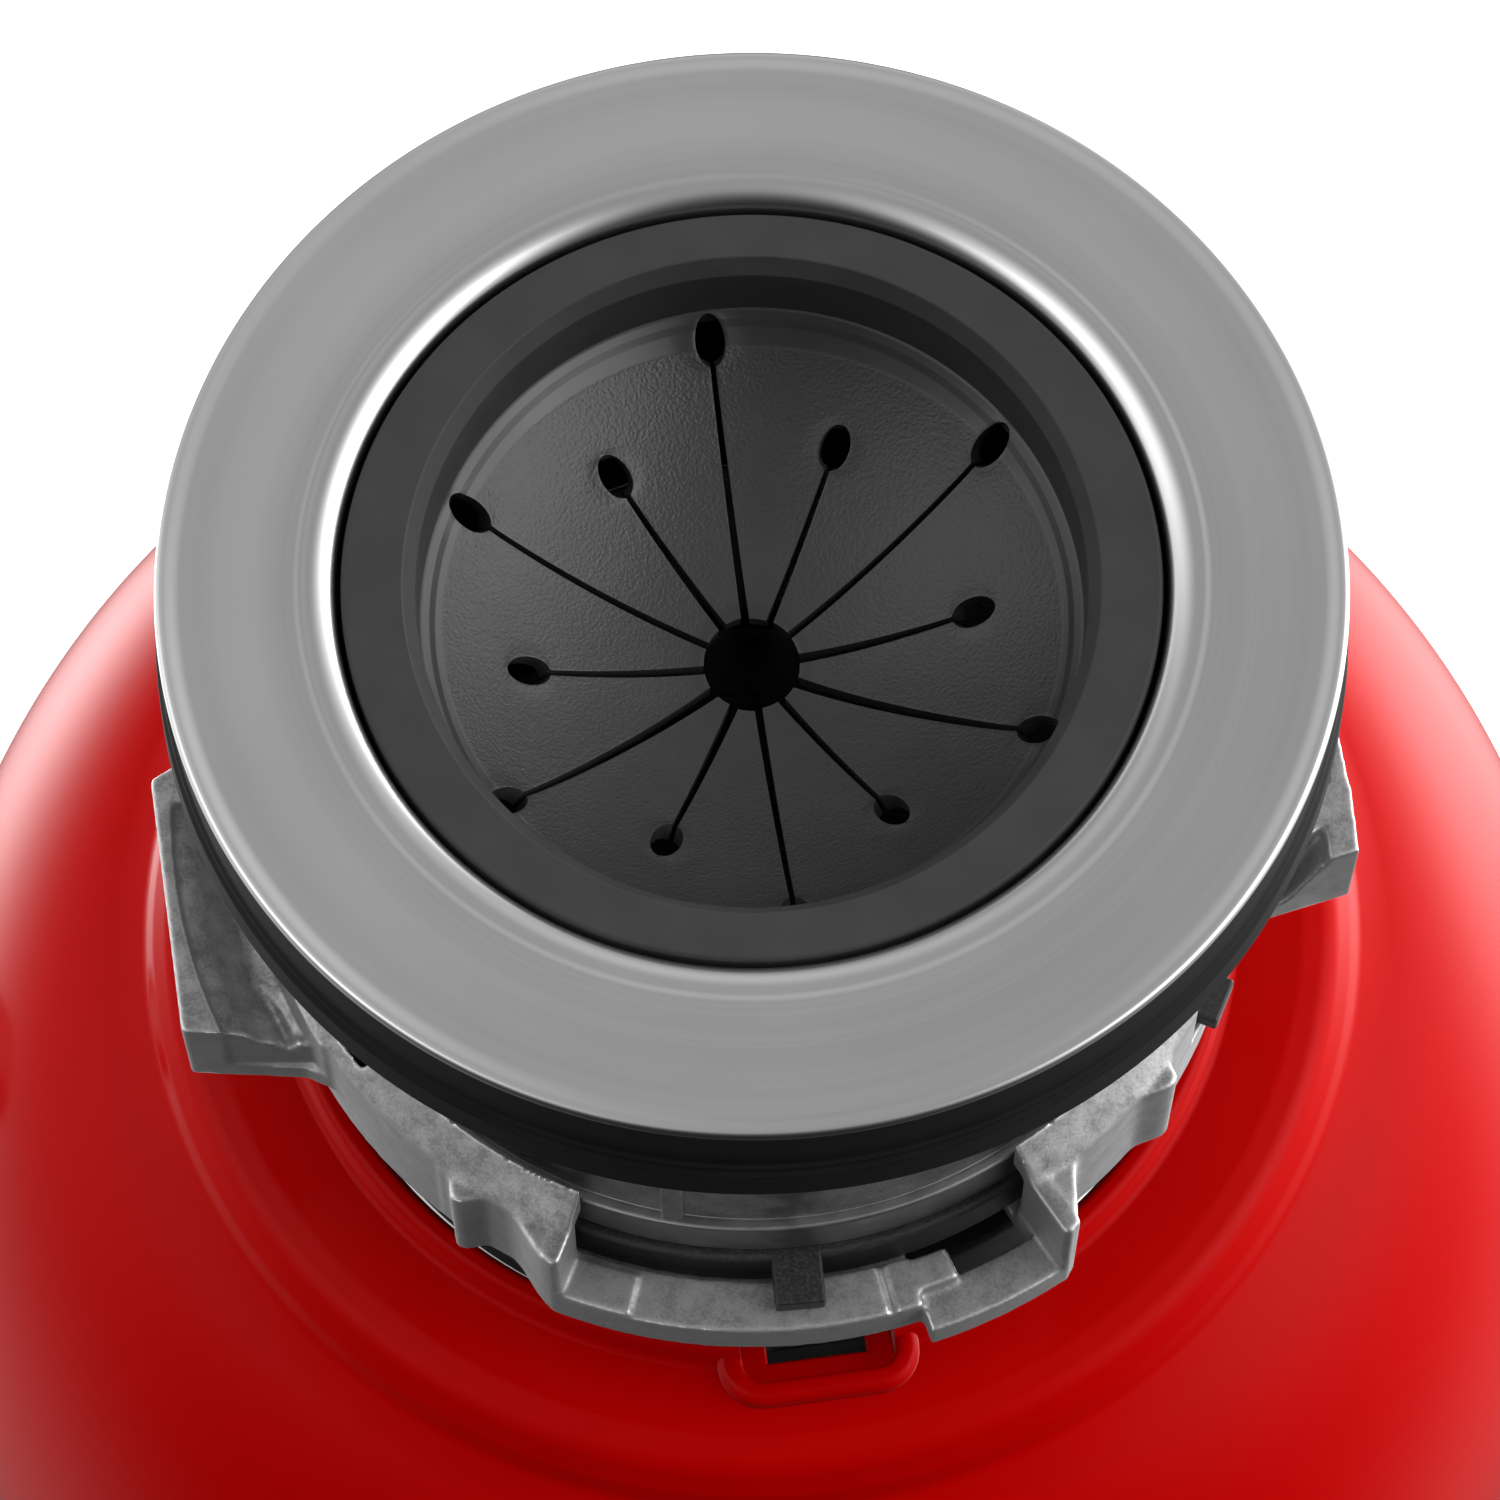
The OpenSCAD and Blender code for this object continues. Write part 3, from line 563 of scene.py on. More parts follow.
def sink_flange():
    """Spun sheet: a flat top, a facet round its edge and a roll down into the throat."""
    throat, sheet, roll, roll_deep, brow = 41.0, 1.2, 2.8, 2.1, 0.6
    lip = throat - 1.1
    corners = [(FLANGE_R - 0.5, -1.35, 0.15), (FLANGE_R, -1.15, 0.05)]  # the rim's underside
    corners += [(FLANGE_R - brow * (1 - math.cos(a)), -0.98 + brow * math.sin(a), None)
                for a in np.radians(np.linspace(5, 86, 12))]
    corners += [(r, -0.2 - 0.16 * ease(r, 54.7, 56.5), None) for r in np.linspace(56.4, 54.4, 16)]
    corners += [(r, -0.2 * ease(r, 45.6, 52.5), None) for r in np.linspace(54, 45.6, 40)]
    corners += [(r, -0.05 * ease(45.6 - r, 0, 2.0) - 0.11 * ease(44.0 - r, 0, 0.9), None)
                for r in np.linspace(45.3, 42.8, 20)]
    corners += [(lip + roll * (1 - math.cos(a)), -0.16 - roll_deep * (1 - math.sin(a)), None)
                for a in np.radians(np.linspace(86, 0, 16))]
    foot, groove = 38.5, throat + 0.8
    corners += [(lip, -6, 0.3), (throat, -7, 0.3), (throat, -56.4, 0.4), (foot, -56.4, 0.4),
                (foot, -57.6, 0.4), (throat, -57.6, 0.3), (throat, -65.2, 0.4),
                (throat + sheet, -65.2, 0.4), (throat + sheet, -62.2), (groove, -62.2), (groove, -60),
                (throat + sheet, -60), (throat + sheet, -4.2, 2.5), (throat + 4, -2.2, 1.0)]
    place(lathe("sink_flange_sheet", corners, segments=384, arc_steps=8), "sink_flange")


GUARD_TOP, GUARD_EDGE, WELL_R, DISH = -1.4, -9.8, 32.2, 12.0
HUB_R = 4.75
LONG_SLIT, SHORT_SLIT = 29.8, 22.0          # from the hub's middle to the middle of a slit's end hole
HOLE_LONG, HOLE_WIDE, SLIT_WIDE = 2.1, 1.5, 0.26  # half sizes
SLITS = [(98 + 30 * k, LONG_SLIT if k % 2 == 0 else SHORT_SLIT) for k in range(12)]


def guard_rim():
    """The flat rim, the well's wall and the skirt that stands on the throat's lip."""
    corners = [(39.4, GUARD_TOP, 0.5), (33.5, GUARD_TOP, 0.3), (32.3, GUARD_TOP - 1.7, 0.3),
               (WELL_R, -7), (WELL_R, GUARD_EDGE - 2.6, 0.3), (WELL_R + 1.8, GUARD_EDGE - 2.6, 0.8),
               (WELL_R + 1.8, GUARD_TOP - 3, 1.2), (38.7, GUARD_TOP - 3, 1.2), (38.7, -56, 0.4),
               (40.3, -56, 0.4), (40.3, -9, 0.4), (39.4, -8, 0.4)]
    rim = lathe("guard_rim", corners, segments=320)
    for v in rim.data.vertices:
        v.co.y *= well_stretch(math.hypot(v.co.x, v.co.y) / MM)
    flat_edges(rim, 35)
    place(rim, "splash_guard")


def well_stretch(r):
    """The soft well is pulled slightly longer from back to front than it is wide."""
    return 1 + 0.033 * (1 - ease(r, 33.6, 38.5))


def flap_rows():
    """Distances from the hub, closer together round the ends of the slits."""
    rows = set(np.round(np.linspace(HUB_R, WELL_R + 0.4, 46), 3))
    for reach in (LONG_SLIT, SHORT_SLIT):
        rows |= {round(reach + HOLE_LONG * math.cos(math.pi * k / 12), 3) for k in range(13)}
    return sorted(rows)


def slit_half_width(rho, reach, hub_width):
    """Half the gap between two flaps at a distance from the hub."""
    if rho >= reach + HOLE_LONG - 1e-3:
        return 0.0
    slit = SLIT_WIDE + (hub_width - SLIT_WIDE) * (reach - rho) / reach if rho < reach else 0.0
    along = (rho - reach) / HOLE_LONG
    hole = HOLE_WIDE * math.sqrt(max(0.0, 1 - along * along)) if abs(along) < 1 else 0.0
    return max(slit, hole)


def guard_flaps():
    """The bowl, cut into flaps whose tips sit at slightly different heights."""
    bowl_r = (WELL_R ** 2 + DISH ** 2) / (2 * DISH)
    sag = [0.0, 0.15, 0.1, 0.5, 0.35, 0.75, 0.25, 0.55, 0.85, 0.3, 0.1, 0.35]
    widths = [0.45, 0.5, 0.4, 0.38, 0.72, 0.5, 0.4, 0.5, 0.72, 0.42, 0.36, 0.42]
    ends = [(reach * math.cos(math.radians(a)), reach * math.sin(math.radians(a)))
            for a, reach in SLITS]
    across = [0, 0.03, 0.09, 0.19, 0.31, 0.44, 0.56, 0.69, 0.81, 0.91, 0.97, 1]
    rows = flap_rows()
    points, faces = [], []
    for k in range(12):
        after = (k + 1) % 12
        (a0, reach0), (_, reach1) = SLITS[k], SLITS[after]
        first = len(points)
        for rho in rows:
            from_a = math.radians(a0) + math.asin(slit_half_width(rho, reach0, widths[k]) / rho)
            to_a = math.radians(a0 + 30) - math.asin(slit_half_width(rho, reach1, widths[after]) / rho)
            z = GUARD_EDGE - DISH + bowl_r - math.sqrt(bowl_r ** 2 - min(rho, WELL_R) ** 2)
            z += 0.25 * ease(rho, 30.9, 31.3) - sag[k] * ease(rho, 22.5, 5)
            for t in across:
                a = from_a + (to_a - from_a) * t
                x, y = rho * math.cos(a), rho * math.sin(a)
                from_hole = min(math.hypot(x - u, y - v) for u, v in ends)
                from_hole -= 0.5 * (HOLE_LONG + HOLE_WIDE)
                lip = 0.14 * math.exp(-(max(0.0, from_hole - 0.15) / 0.3) ** 2)
                points.append((x, y * well_stretch(rho), z + lip + RIM))
        faces += grid_faces(len(rows), len(across), first, False, False)
    obj = make("guard_flaps", points, faces)
    mesh = bmesh.new()
    mesh.from_mesh(obj.data)
    bmesh.ops.remove_doubles(mesh, verts=mesh.verts, dist=2e-6)
    mesh.faces.ensure_lookup_table()
    bmesh.ops.recalc_face_normals(mesh, faces=mesh.faces)
    if sum(face.normal.z for face in mesh.faces) < 0:
        bmesh.ops.reverse_faces(mesh, faces=mesh.faces)
    mesh.to_mesh(obj.data)
    mesh.free()
    skin = obj.modifiers.new("skin", "SOLIDIFY")
    skin.thickness, skin.offset = 1.8 * MM, -1
    round_off = obj.modifiers.new("round", "BEVEL")
    round_off.width, round_off.segments = 0.34 * MM, 3
    round_off.limit_method, round_off.angle_limit = "ANGLE", math.radians(50)
    applied(obj)
    flat_edges(obj, 50)
    place(obj, "splash_guard", look=flap_rubber())


def gaskets():
    seam, outer = -9.2, FLANGE_R + 0.85
    upper = [(42.5, -3, 0.3), (54, -3, 0.3), (54, -1.6, 0.3), (FLANGE_R - 0.1, -0.9, 0.35),
             (FLANGE_R - 0.15, -8.2, 0.5), (FLANGE_R + 0.3, -8.6, 0.3), (FLANGE_R + 0.25, seam, 0.3),
             (42.5, seam, 0.3)]
    place(lathe("sink_gasket_ring", upper, segments=384), "sink_gasket")
    lower = [(42.5, seam, 0.3), (outer - 0.9, seam, 0.25), (outer - 0.15, seam - 0.7, 0.4),
             (outer, -14.2, 0.6), (outer - 0.8, -15, 0.3), (42.5, -15, 0.3)]
    place(lathe("fibre_gasket_ring", lower, segments=384), "fibre_gasket")
    backing = [(42.5, -15, 0.2), (54.5, -15, 0.2), (54.5, -21, 0.3), (53, -21, 0.3), (53, -18, 0.5),
               (42.5, -18, 0.2)]
    place(lathe("backup_ring_plate", backing), "backup_ring")


# ---------------------------------------------------------------- mount: cast ring, lock ring, collar, boot

def sector(name, r_in, r_out, low, high, a0, a1, edge=0.3):
    """A rounded block that follows the ring between two angles."""
    steps = max(3, round(abs(a1 - a0) / 2))
    arc = [math.radians(a0 + (a1 - a0) * k / steps) for k in range(steps + 1)]
    corners = [(r_out * math.cos(a), r_out * math.sin(a), 0.4 if k in (0, steps) else None)
               for k, a in enumerate(arc)]
    corners += [(r_in * math.cos(a), r_in * math.sin(a), 0.3 if k in (0, steps) else None)
                for k, a in reversed(list(enumerate(arc)))]
    return prism(name, corners, low, high, edge)


def mounting_ring():
    """The ring with its six ribs, the pads between them, two bayonet lugs and three screw bosses."""
    waist = 46.4
    corners = [(42.5, -22, 0.3), (49, -22, 0.6), (49, -28, 0.8), (waist, -28, 1.2),
               (waist, -55.6, 0.25), (waist - 0.25, -55.8, 0.1), (waist - 0.25, -56.2, 0.2),
               (47.5, -56.2, 0.45), (47.5, -62.4, 0.5), (45.2, -62.4, 0.3), (45.2, -59.6, 0.3),
               (42.5, -59.6, 0.3)]
    parts = [lathe("mounting_ring_casting", corners, segments=320)]
    for k in range(6):
        a = -100 + 60 * k
        turn = Matrix.Rotation(math.radians(a), 4, "Z")
        rib = prism("rib", [(45.5, -1.35), (47.1, -1.05, 0.45), (47.1, 1.05, 0.45), (45.5, 1.35)],
                    RIM - 57.2, RIM - 27, 0.3, turn)
        parts.append(rib)
        for a0, a1 in ((17.7, 23.5), (25.4, 26.8)):
            parts.append(sector("pad", 45.6, 46.75, RIM - 44, RIM - 33, a + a0, a + a1, 0.2))
    for a in (0, 180):
        parts.append(sector("lug", 45, 49.6, RIM - 60.4, RIM - 57.4, a - 54, a - 30, 0.5))
    for a in (90, 210, 330):
        turn = Matrix.Rotation(math.radians(a), 4, "Z") @ Matrix.Translation((50 * MM, 0, 0))
        boss = [(2.5, -22, 0.2), (4.4, -22, 0.5), (4.4, -28, 0.6), (2.5, -28, 0.2)]
        parts.append(lathe("boss", boss, segments=48, turn=turn))
    place(joined(parts), "mounting_ring", look=ring_metal())


def ring_metal():
    """Cast above the groove and turned smooth below it."""
    look = Look("mounting_ring_metal", metal=1.0)
    turned = look.remap(look.height(), RIM - 55.9, RIM - 56.3)
    patches = look.noise(3, 5, 0.6)
    specks = look.noise(0.3, 3, 0.7)
    lines = look.noise(0.4, 4, place=look.lathe_place())
    dirt = look.math("ADD", look.math("MULTIPLY", patches, 0.5), look.math("MULTIPLY", specks, 0.5))
    cast = look.ramp(dirt, (0.38, grey(0.22)), (0.62, grey(0.5)))
    smooth = look.ramp(lines, (0.3, grey(0.34)), (0.7, grey(0.42)))
    look.colour(look.blend(turned, cast, smooth))
    look.gloss(patches, 0.36, 0.48)
    return look.bump(specks, 0.012).bump(lines, 0.006).material


def slab(name, rows, low):
    """A closed block under a grid of points, down to a height."""
    n, m = len(rows), len(rows[0])
    top = [p for row in rows for p in row]
    points = top + [(x, y, low) for x, y, _ in top]
    over = grid_faces(n, m, 0, False, False)
    under = [tuple(v + n * m for v in face)[::-1] for face in over]
    rim = ([j for j in range(m)] + [i * m + m - 1 for i in range(1, n)]
           + [(n - 1) * m + j for j in range(m - 2, -1, -1)] + [i * m for i in range(n - 2, 0, -1)])
    sides = [(b, a, a + n * m, b + n * m) for a, b in zip(rim, rim[1:] + rim[:1])]
    return make(name, points, over + under + sides)


def ear_scoop(turn):
    """The hollow of an ear: it sweeps down from the strip, with a few folds near its open end."""
    first = 181.2
    rows = []
    for u in np.linspace(0, 1, 56):
        row = []
        for r in np.linspace(51.9, 60.9, 44):
            end = 180 + math.degrees(math.asin(26.3 / r))
            a = first + (end - first) * u
            to_end = (1 - u) * (end - first) * math.pi / 180 * r
            fall = ease(60.4 - r, 0, 7.5)
            z = -55.4 - 0.8 * ease(60.5 - r, 0, 0.5) - 6.6 * fall + 1.8 * ease(55.5 - r, 0, 3.5)
            folds = 0.55 * math.cos((r + 0.5 * math.sin(to_end * 0.5)) * 2.7) * ease(r, 52.2, 53.5)
            lip = 1.3 * (1 - ease(to_end, 0.4, 2.2))
            z += folds * (1 - ease(to_end, 2.0, 12)) * fall + lip * fall
            a = math.radians(a + turn)
            row.append((r * math.cos(a), r * math.sin(a), z + RIM))
        rows.append(row)
    return slab("scoop", rows, RIM - 66.8)


def ear_end():
    """The far ear's end, a little longer than its twin's: the strip, and the scoop falling away beside it."""
    rows = []
    for s in np.linspace(0, 1, 48):
        row = []
        for t in np.linspace(0, 1, 40):
            x, y = 50 + 12 * s, 1 - 7 * t
            for _ in range(4):  # its two slanted edges depend on each other
                outer = 62.5 - 0.08 * y
                x = 50 + (outer - 50) * s
                end = -6.5 - 0.324 * (62.9 - x)
                y = 1 + (end - 1) * t
            fall = ease(outer - 3.1 - x, 0, 5)
            z = -55.0 - 1.2 * ease(outer - 3.1 - x, 0, 0.5) - 8.6 * fall
            z += 0.9 * (1 - ease(y - end, 0.4, 1.8)) * fall
            row.append((x, y, z + RIM))
        rows.append(row)
    return slab("end", rows, RIM - 67.5)


def from_casting(node, voxel, rounds, share, extra):
    """The CAD shape with extra solids, and its edges softened like a die casting's."""
    obj = bpy.data.objects.new(node + "_casting", frame["nodes"][node].data.copy())
    bpy.context.scene.collection.objects.link(obj)
    mesh = bmesh.new()
    mesh.from_mesh(obj.data)
    bmesh.ops.remove_doubles(mesh, verts=mesh.verts, dist=1e-5)
    mesh.to_mesh(obj.data)
    mesh.free()
    obj = joined([obj, *extra])
    remesh = obj.modifiers.new("remesh", "REMESH")
    remesh.mode, remesh.voxel_size = "VOXEL", voxel * MM
    smooth = obj.modifiers.new("smooth", "SMOOTH")
    smooth.factor, smooth.iterations = 0.5, rounds
    thin = obj.modifiers.new("thin", "DECIMATE")
    thin.ratio = share
    applied(obj)
    obj.data.shade_smooth()
    return obj


def lock_ring():
    extra = [ear_scoop(0), ear_scoop(180), ear_end()]
    casting = from_casting("lock_ring", voxel=0.28, rounds=9, share=0.25, extra=extra)
    place(casting, "lock_ring")


def cushion_collar():
    corners = [(42.6, -62.7, 0.3), (48.5, -62.7, 0.7), (48.5, -68.9, 0.3), (47.2, -68.9, 0.3),
               (47.2, -65.6, 0.4), (42.6, -65.6, 0.3)]
    parts = [lathe("cushion_collar_ring", corners, segments=256)]
    for a in (-84.6, -22.3, 95.4, 157.7):
        turn = Matrix.Rotation(math.radians(a), 4, "Z")
        tab = [(47.6, -2.6), (53.3, -2.6, 0.3), (53.3, 2.6, 0.3), (47.6, 2.6)]
        parts.append(prism("tab", tab, RIM - 65, RIM - 62.7, 0.35, turn))
    place(joined(parts), "cushion_collar")


def neck_boot():
    corners = [(44.6, -72, 0.3), (49.6, -72, 0.7), (49.6, -74, 0.5), (48.4, -74.4, 0.4),
               (48.4, -88, 0.5), (44.6, -88, 0.3)]
    look = gasket_rubber("boot_rubber", 0.012)
    place(lathe("neck_boot_sleeve", corners), "neck_boot", look=look)


# ---------------------------------------------------------------- shells

SHOULDER_A, SHOULDER_B = 46, 70             # the dome's ellipse: how far it curves in, and down
SHOULDER_R, SHOULDER_Z = BODY_R - SHOULDER_A, RIM - 160
SHELL_WALL = 2.4
NECK_R = 48.95                              # the port's pieces stay outside this
PORT_TURN, INSERT_TURN = 7.8, 8.8


def shoulder(inset, from_t, to_t, steps):
    """Points on the dome's ellipse, moved inwards."""
    return [(SHOULDER_R + (SHOULDER_A - inset) * math.cos(t),
             SHOULDER_Z + (SHOULDER_B - inset) * math.sin(t), None)
            for t in np.radians(np.linspace(from_t, to_t, steps))]


def shell_section():
    """Neck ridge, flat, soft step and dome, down to the foot and back up inside."""
    top = SHELL_TOP
    outside = [(48.9, top - 5, 0.4), (48.9, top - 2, 0.6), (49.6, top, 1.1), (51.6, top, 1.3),
               (52.7, top - 2, 1.2), (60, top - 2.5, 6), (63.4, top - 3.2, 4), (65.6, top - 6.0, 4),
               (66.6, top - 7.9, 3)]
    outside += shoulder(0, 70, 4, 60)
    outside += [(BODY_R, SHOULDER_Z - 1, 8), (BODY_R, SHELL_FOOT, 0.5),
                (BODY_R - SHELL_WALL, SHELL_FOOT, 0.3)]
    return outside + shoulder(SHELL_WALL, 2, 74, 40) + [(61.5, top - 5.4, 0.8)]


def port_outline(width, y_in, y_out, radius):
    half = width / 2
    return [(-half, y_in, 0.2), (-half, y_out, radius), (half, y_out, radius), (half, y_in, 0.2)]


def relathe_normals(obj, section, normals):
    """Gives a cut lathe its exact normals again, apart from the faces of the cuts."""
    mesh = obj.data
    co = np.empty(len(mesh.vertices) * 3)
    mesh.vertices.foreach_get("co", co)
    co = co.reshape(-1, 3) / MM
    radius = np.hypot(co[:, 0], co[:, 1])
    flat = np.stack([radius, co[:, 2]], -1)
    nearest = np.array([np.argmin(((section - p) ** 2).sum(1)) for p in flat])
    ring = normals[nearest]
    exact = np.stack([ring[:, 0] * co[:, 0] / radius, ring[:, 0] * co[:, 1] / radius, ring[:, 1]],
                     -1)
    away = ((section[nearest] - flat) ** 2).sum(1) > 0.05 ** 2
    out = []
    for face in mesh.polygons:
        n = np.array(face.normal)
        for v in face.vertices:
            out.append(n if away[v] or n @ exact[v] < 0.85 else exact[v])
    mesh.shade_smooth()
    mesh.normals_split_custom_set([tuple(map(float, n)) for n in out])


def upper_shell():
    """The dome, with its side openings and the pocket of the small port."""
    corners = shell_section()
    section, normals = outline(corners)
    obj = lathe("upper_shell_dome", corners, 0, 384)
    turn = Matrix.Rotation(math.radians(PORT_TURN), 4, "Z")
    outlet = cutter(37, 0, 60, turn=at_x(60, centre_z("discharge_gasket")))
    inlet = cutter(15, 0, 60, turn=at_x(-120, centre_z("dishwasher_plug")))
    pocket = prism("pocket", port_outline(16.4, -47, -54.1, 2.2), SHELL_TOP - 8, SHELL_TOP + 4, 0.1,
                   turn)
    cut(obj, outlet, inlet, pocket)
    relathe_normals(obj, section, normals)
    place(obj, "upper_shell")
    port_frame(turn)


def port_frame(turn):
    """The small pocket's rounded rim, a loop that follows three sides of it, with its sloping ledge."""
    top = SHELL_TOP - 0.6
    path, path_normals = outline(port_outline(16.0, -45.0, -54.1, 2.0), arc_steps=8)
    section, _ = outline([(-2.7, -8, 0.1), (-2.7, -3, 0.5), (0.1, -3, 0.3), (0.1, 0, 0.7),
                          (2.7, 0, 1.2), (2.7, -8, 0.1)])
    points = [(*(p + n * across), top + up) for p, n in zip(path, path_normals) for across, up in section]
    obj = make("upper_shell_port_rim", points, grid_faces(len(path), len(section)), None, turn)
    flat_edges(obj, 60)
    cut(obj, cutter(NECK_R, -30, 30, SHELL_TOP, 256))
    flat_edges(obj, 40)
    place(obj, "upper_shell")


def port_insert():
    turn = Matrix.Rotation(math.radians(INSERT_TURN), 4, "Z")
    cup = prism("port_insert_cup", port_outline(13.4, -49.4, -52.9, 1.2), SHELL_TOP - 8.4,
                SHELL_TOP - 5.4, 0.3, turn)
    cut(cup, cutter(NECK_R, -30, 30, SHELL_TOP, 256))
    flat_edges(cup, 40)
    place(cup, "port_insert")


def body_bands():
    """The trim band with its groove, and the lower shell with its two holes."""
    r = BODY_R
    trim = [(r - 6.4, 104.2, 0.3), (r - 1.4, 104.2, 0.4), (r - 1.4, 106.4, 0.3),
            (r - 1.9, 106.8, 0.2), (r - 1.9, 109.2, 0.2), (r - 1.4, 109.6, 0.3),
            (r - 1.4, SHELL_FOOT, 0.3), (r - 2.8, SHELL_FOOT, 0.3), (r - 2.8, 117, 0.4),
            (r - 6.4, 117, 0.4)]
    place(lathe("trim_band_ring", trim, 0, 320), "trim_band")
    lower = [(r - 1, 104, 0.4), (r - 1, 84, 7), (89, 20, 4), (86, 14, 1.0), (82, 14, 0.4),
             (86, 20, 2), (r - 3.4, 85, 5), (r - 3.4, 104, 0.3)]
    shell = lathe("lower_shell_bucket", lower, 0, 320)
    section, normals = outline(lower)
    rear = Matrix.Translation((0, 80 * MM, 34 * MM)) @ Y_AXIS
    front = Matrix.Translation((0, -110 * MM, 30 * MM)) @ Y_AXIS
    cut(shell, cutter(9, 0, 30, segments=64, turn=rear), cutter(5.8, 0, 35, segments=64, turn=front))
    relathe_normals(shell, section, normals)
    place(shell, "lower_shell")


# ---------------------------------------------------------------- side fittings

def elbow():
    """The moulded drain elbow with its collar, swept round a quarter bend."""
    z, r, wall, bend, start = centre_z("discharge_gasket"), 19.05, 2.0, 30.0, 102.0
    path = [(x, z, 0.0) for x in (93.8, 97, start)]
    path += [(start + bend * math.sin(t), z - bend + bend * math.cos(t), t)
             for t in np.linspace(0, math.pi / 2, 20)[1:]]
    path += [(start + bend, h, math.pi / 2) for h in (z - bend - 13, z - bend - 26)]
    n = 96
    ring = np.linspace(0, 2 * math.pi, n, endpoint=False)
    rows = [(k, r) for k in range(len(path))] + [(k, r - wall) for k in reversed(range(len(path)))]
    points = []
    for k, radius in rows:
        x, h, t = path[k]
        side = np.array([math.sin(t), 0, math.cos(t)])
        for a in ring:
            way = side * math.cos(a) + np.array([0, 1, 0]) * math.sin(a)
            points.append(np.array([x, 0, h]) + way * radius)
    tube = make("discharge_elbow_tube", points, grid_faces(len(rows), n))
    flat_edges(tube, 50)
    rim = [(18.6, 91, 0.3), (22.05, 91, 0.6), (22.05, 93.8, 0.6), (18.6, 93.8, 0.3)]
    collar = lathe("collar", rim, 0, 128, at_x(0, z))
    band = [(18.6, 1, 0.2), (19.05, 1.2, 0.2), (19.05, 3.6, 0.2), (18.6, 3.8, 0.2)]
    aside = Matrix.Translation(((start + bend) * MM, 0, 0))
    bead = lathe("bead", band, z - bend - 26, 128, aside)
    place(joined([tube, collar, bead]), "discharge_elbow")


def discharge_plate():
    z = centre_z("discharge_gasket")
    ears = [(-9, -33, 5), (9, -33, 5), (13, -21, 6), (25, 0, 23), (13, 21, 6), (9, 33, 5),
            (-9, 33, 5), (-13, 21, 6), (-25, 0, 23), (-13, -21, 6)]
    plate = prism("discharge_flange_plate", ears, 94, 97, 0.6, at_x(0, z))
    cut(plate, cutter(19.3, 0, 10, turn=at_x(90, z)))
    flat_edges(plate, 40)
    place(plate, "discharge_flange")


def hex_head(name, r, low, high, turn):
    """A hexagonal head with chamfered corners."""
    n = 96
    levels = [(low, 0), (high - 0.7, 0), (high, 0.9), (high, r - AXIS)]
    a = np.linspace(0, 2 * math.pi, n, endpoint=False)
    flat = r * math.cos(math.pi / 6) / np.cos((a + math.pi / 6) % (math.pi / 3) - math.pi / 6)
    points = []
    for z, inset in levels:
        reach = np.minimum(flat, r - inset) if inset < r / 2 else np.full(n, AXIS)
        points += [(q * math.cos(t), q * math.sin(t), z) for q, t in zip(reach, a)]
    points += [(AXIS * math.cos(t), AXIS * math.sin(t), low) for t in a]
    obj = make(name, points, grid_faces(len(levels) + 1, n), None, turn)
    return flat_edges(obj, 30)


def side_screws():
    """The two hex bolts of the drain flange, and the four cross-slot screws of the shells."""
    z = centre_z("discharge_gasket")
    heads = []
    for y in (-27, 27):
        turn = at_x(0, z, y)
        shank = [(AXIS, 80, 0.01), (2.4, 80.3, 0.3), (2.4, 98, 0.1), (AXIS, 98, 0.01)]
        heads.append(lathe("discharge_bolt" if y < 0 else "bolt", shank, 0, 48, turn))
        heads.append(hex_head("head", 4.6, 97.0, 100.4, turn))
    place(joined(heads), "discharge_screws")
    pans = []
    for k in range(4):
        turn = Matrix.Rotation(math.radians(45 + 90 * k), 4, "Z") @ at_x(0, 96)
        pan = [(AXIS, 92, 0.01), (2, 92.2, 0.3), (2, 99, 0.1), (3.6, 99.05, 0.2), (3.6, 99.7, 0.5),
               (2.4, 100.5, 1.0), (AXIS, 100.6, 0.01)]
        head = lathe("shell_pan_screws", pan, 0, 64, turn)
        slots = [prism("cutter", [(-x, -y, 0.01), (x, -y, 0.01), (x, y, 0.01), (-x, y, 0.01)], 99.7,
                       102, 0.02, turn)
                 for x, y in ((2.2, 0.4), (0.4, 2.2))]
        cut(head, *slots)
        pans.append(flat_edges(head, 40))
    place(joined(pans), "shell_screws")


def reset_and_gland():
    """The reset button in front, and the cable gland behind."""
    turn = Matrix.Translation((0, 0, 30 * MM)) @ Matrix.Rotation(math.pi / 2, 4, "X")
    button = [(AXIS, 66, 0.01), (3.9, 66, 0.2), (3.9, 79, 0.2), (5.4, 79, 0.3), (5.4, 91.6, 0.9),
              (4.4, 92.5, 0.6), (3.6, 92.1, 1.5), (AXIS, 91.9, 0.01)]
    place(lathe("reset_button_cap", button, 0, 96, turn), "reset_button")
    turn = Matrix.Translation((0, 0, 34 * MM)) @ Y_AXIS
    bore = 4.5
    gland = [(bore, 80, 0.2), (8.8, 80, 0.4), (8.8, 93.4, 0.2), (12, 93.4, 0.4), (12, 96.4, 0.9),
             (7.5, 96.6, 0.6), (7.5, 99.4, 0.9), (bore, 99.4, 0.6)]
    place(lathe("cable_gland_bush", gland, 0, 96, turn, shape=knurl), "cable_gland")


def knurl(points):
    """Shallow flutes round the gland's nut, the part of it that is over 10 mm from its axis."""
    out = points.copy()
    radius = np.hypot(points[:, 0], points[:, 1])
    angle = np.arctan2(points[:, 1], points[:, 0])
    outside = radius > 10
    out[outside, :2] *= (1 - 0.025 * (0.5 + 0.5 * np.cos(24 * angle[outside])))[:, None]
    return out


# ---------------------------------------------------------------- camera, light and floor

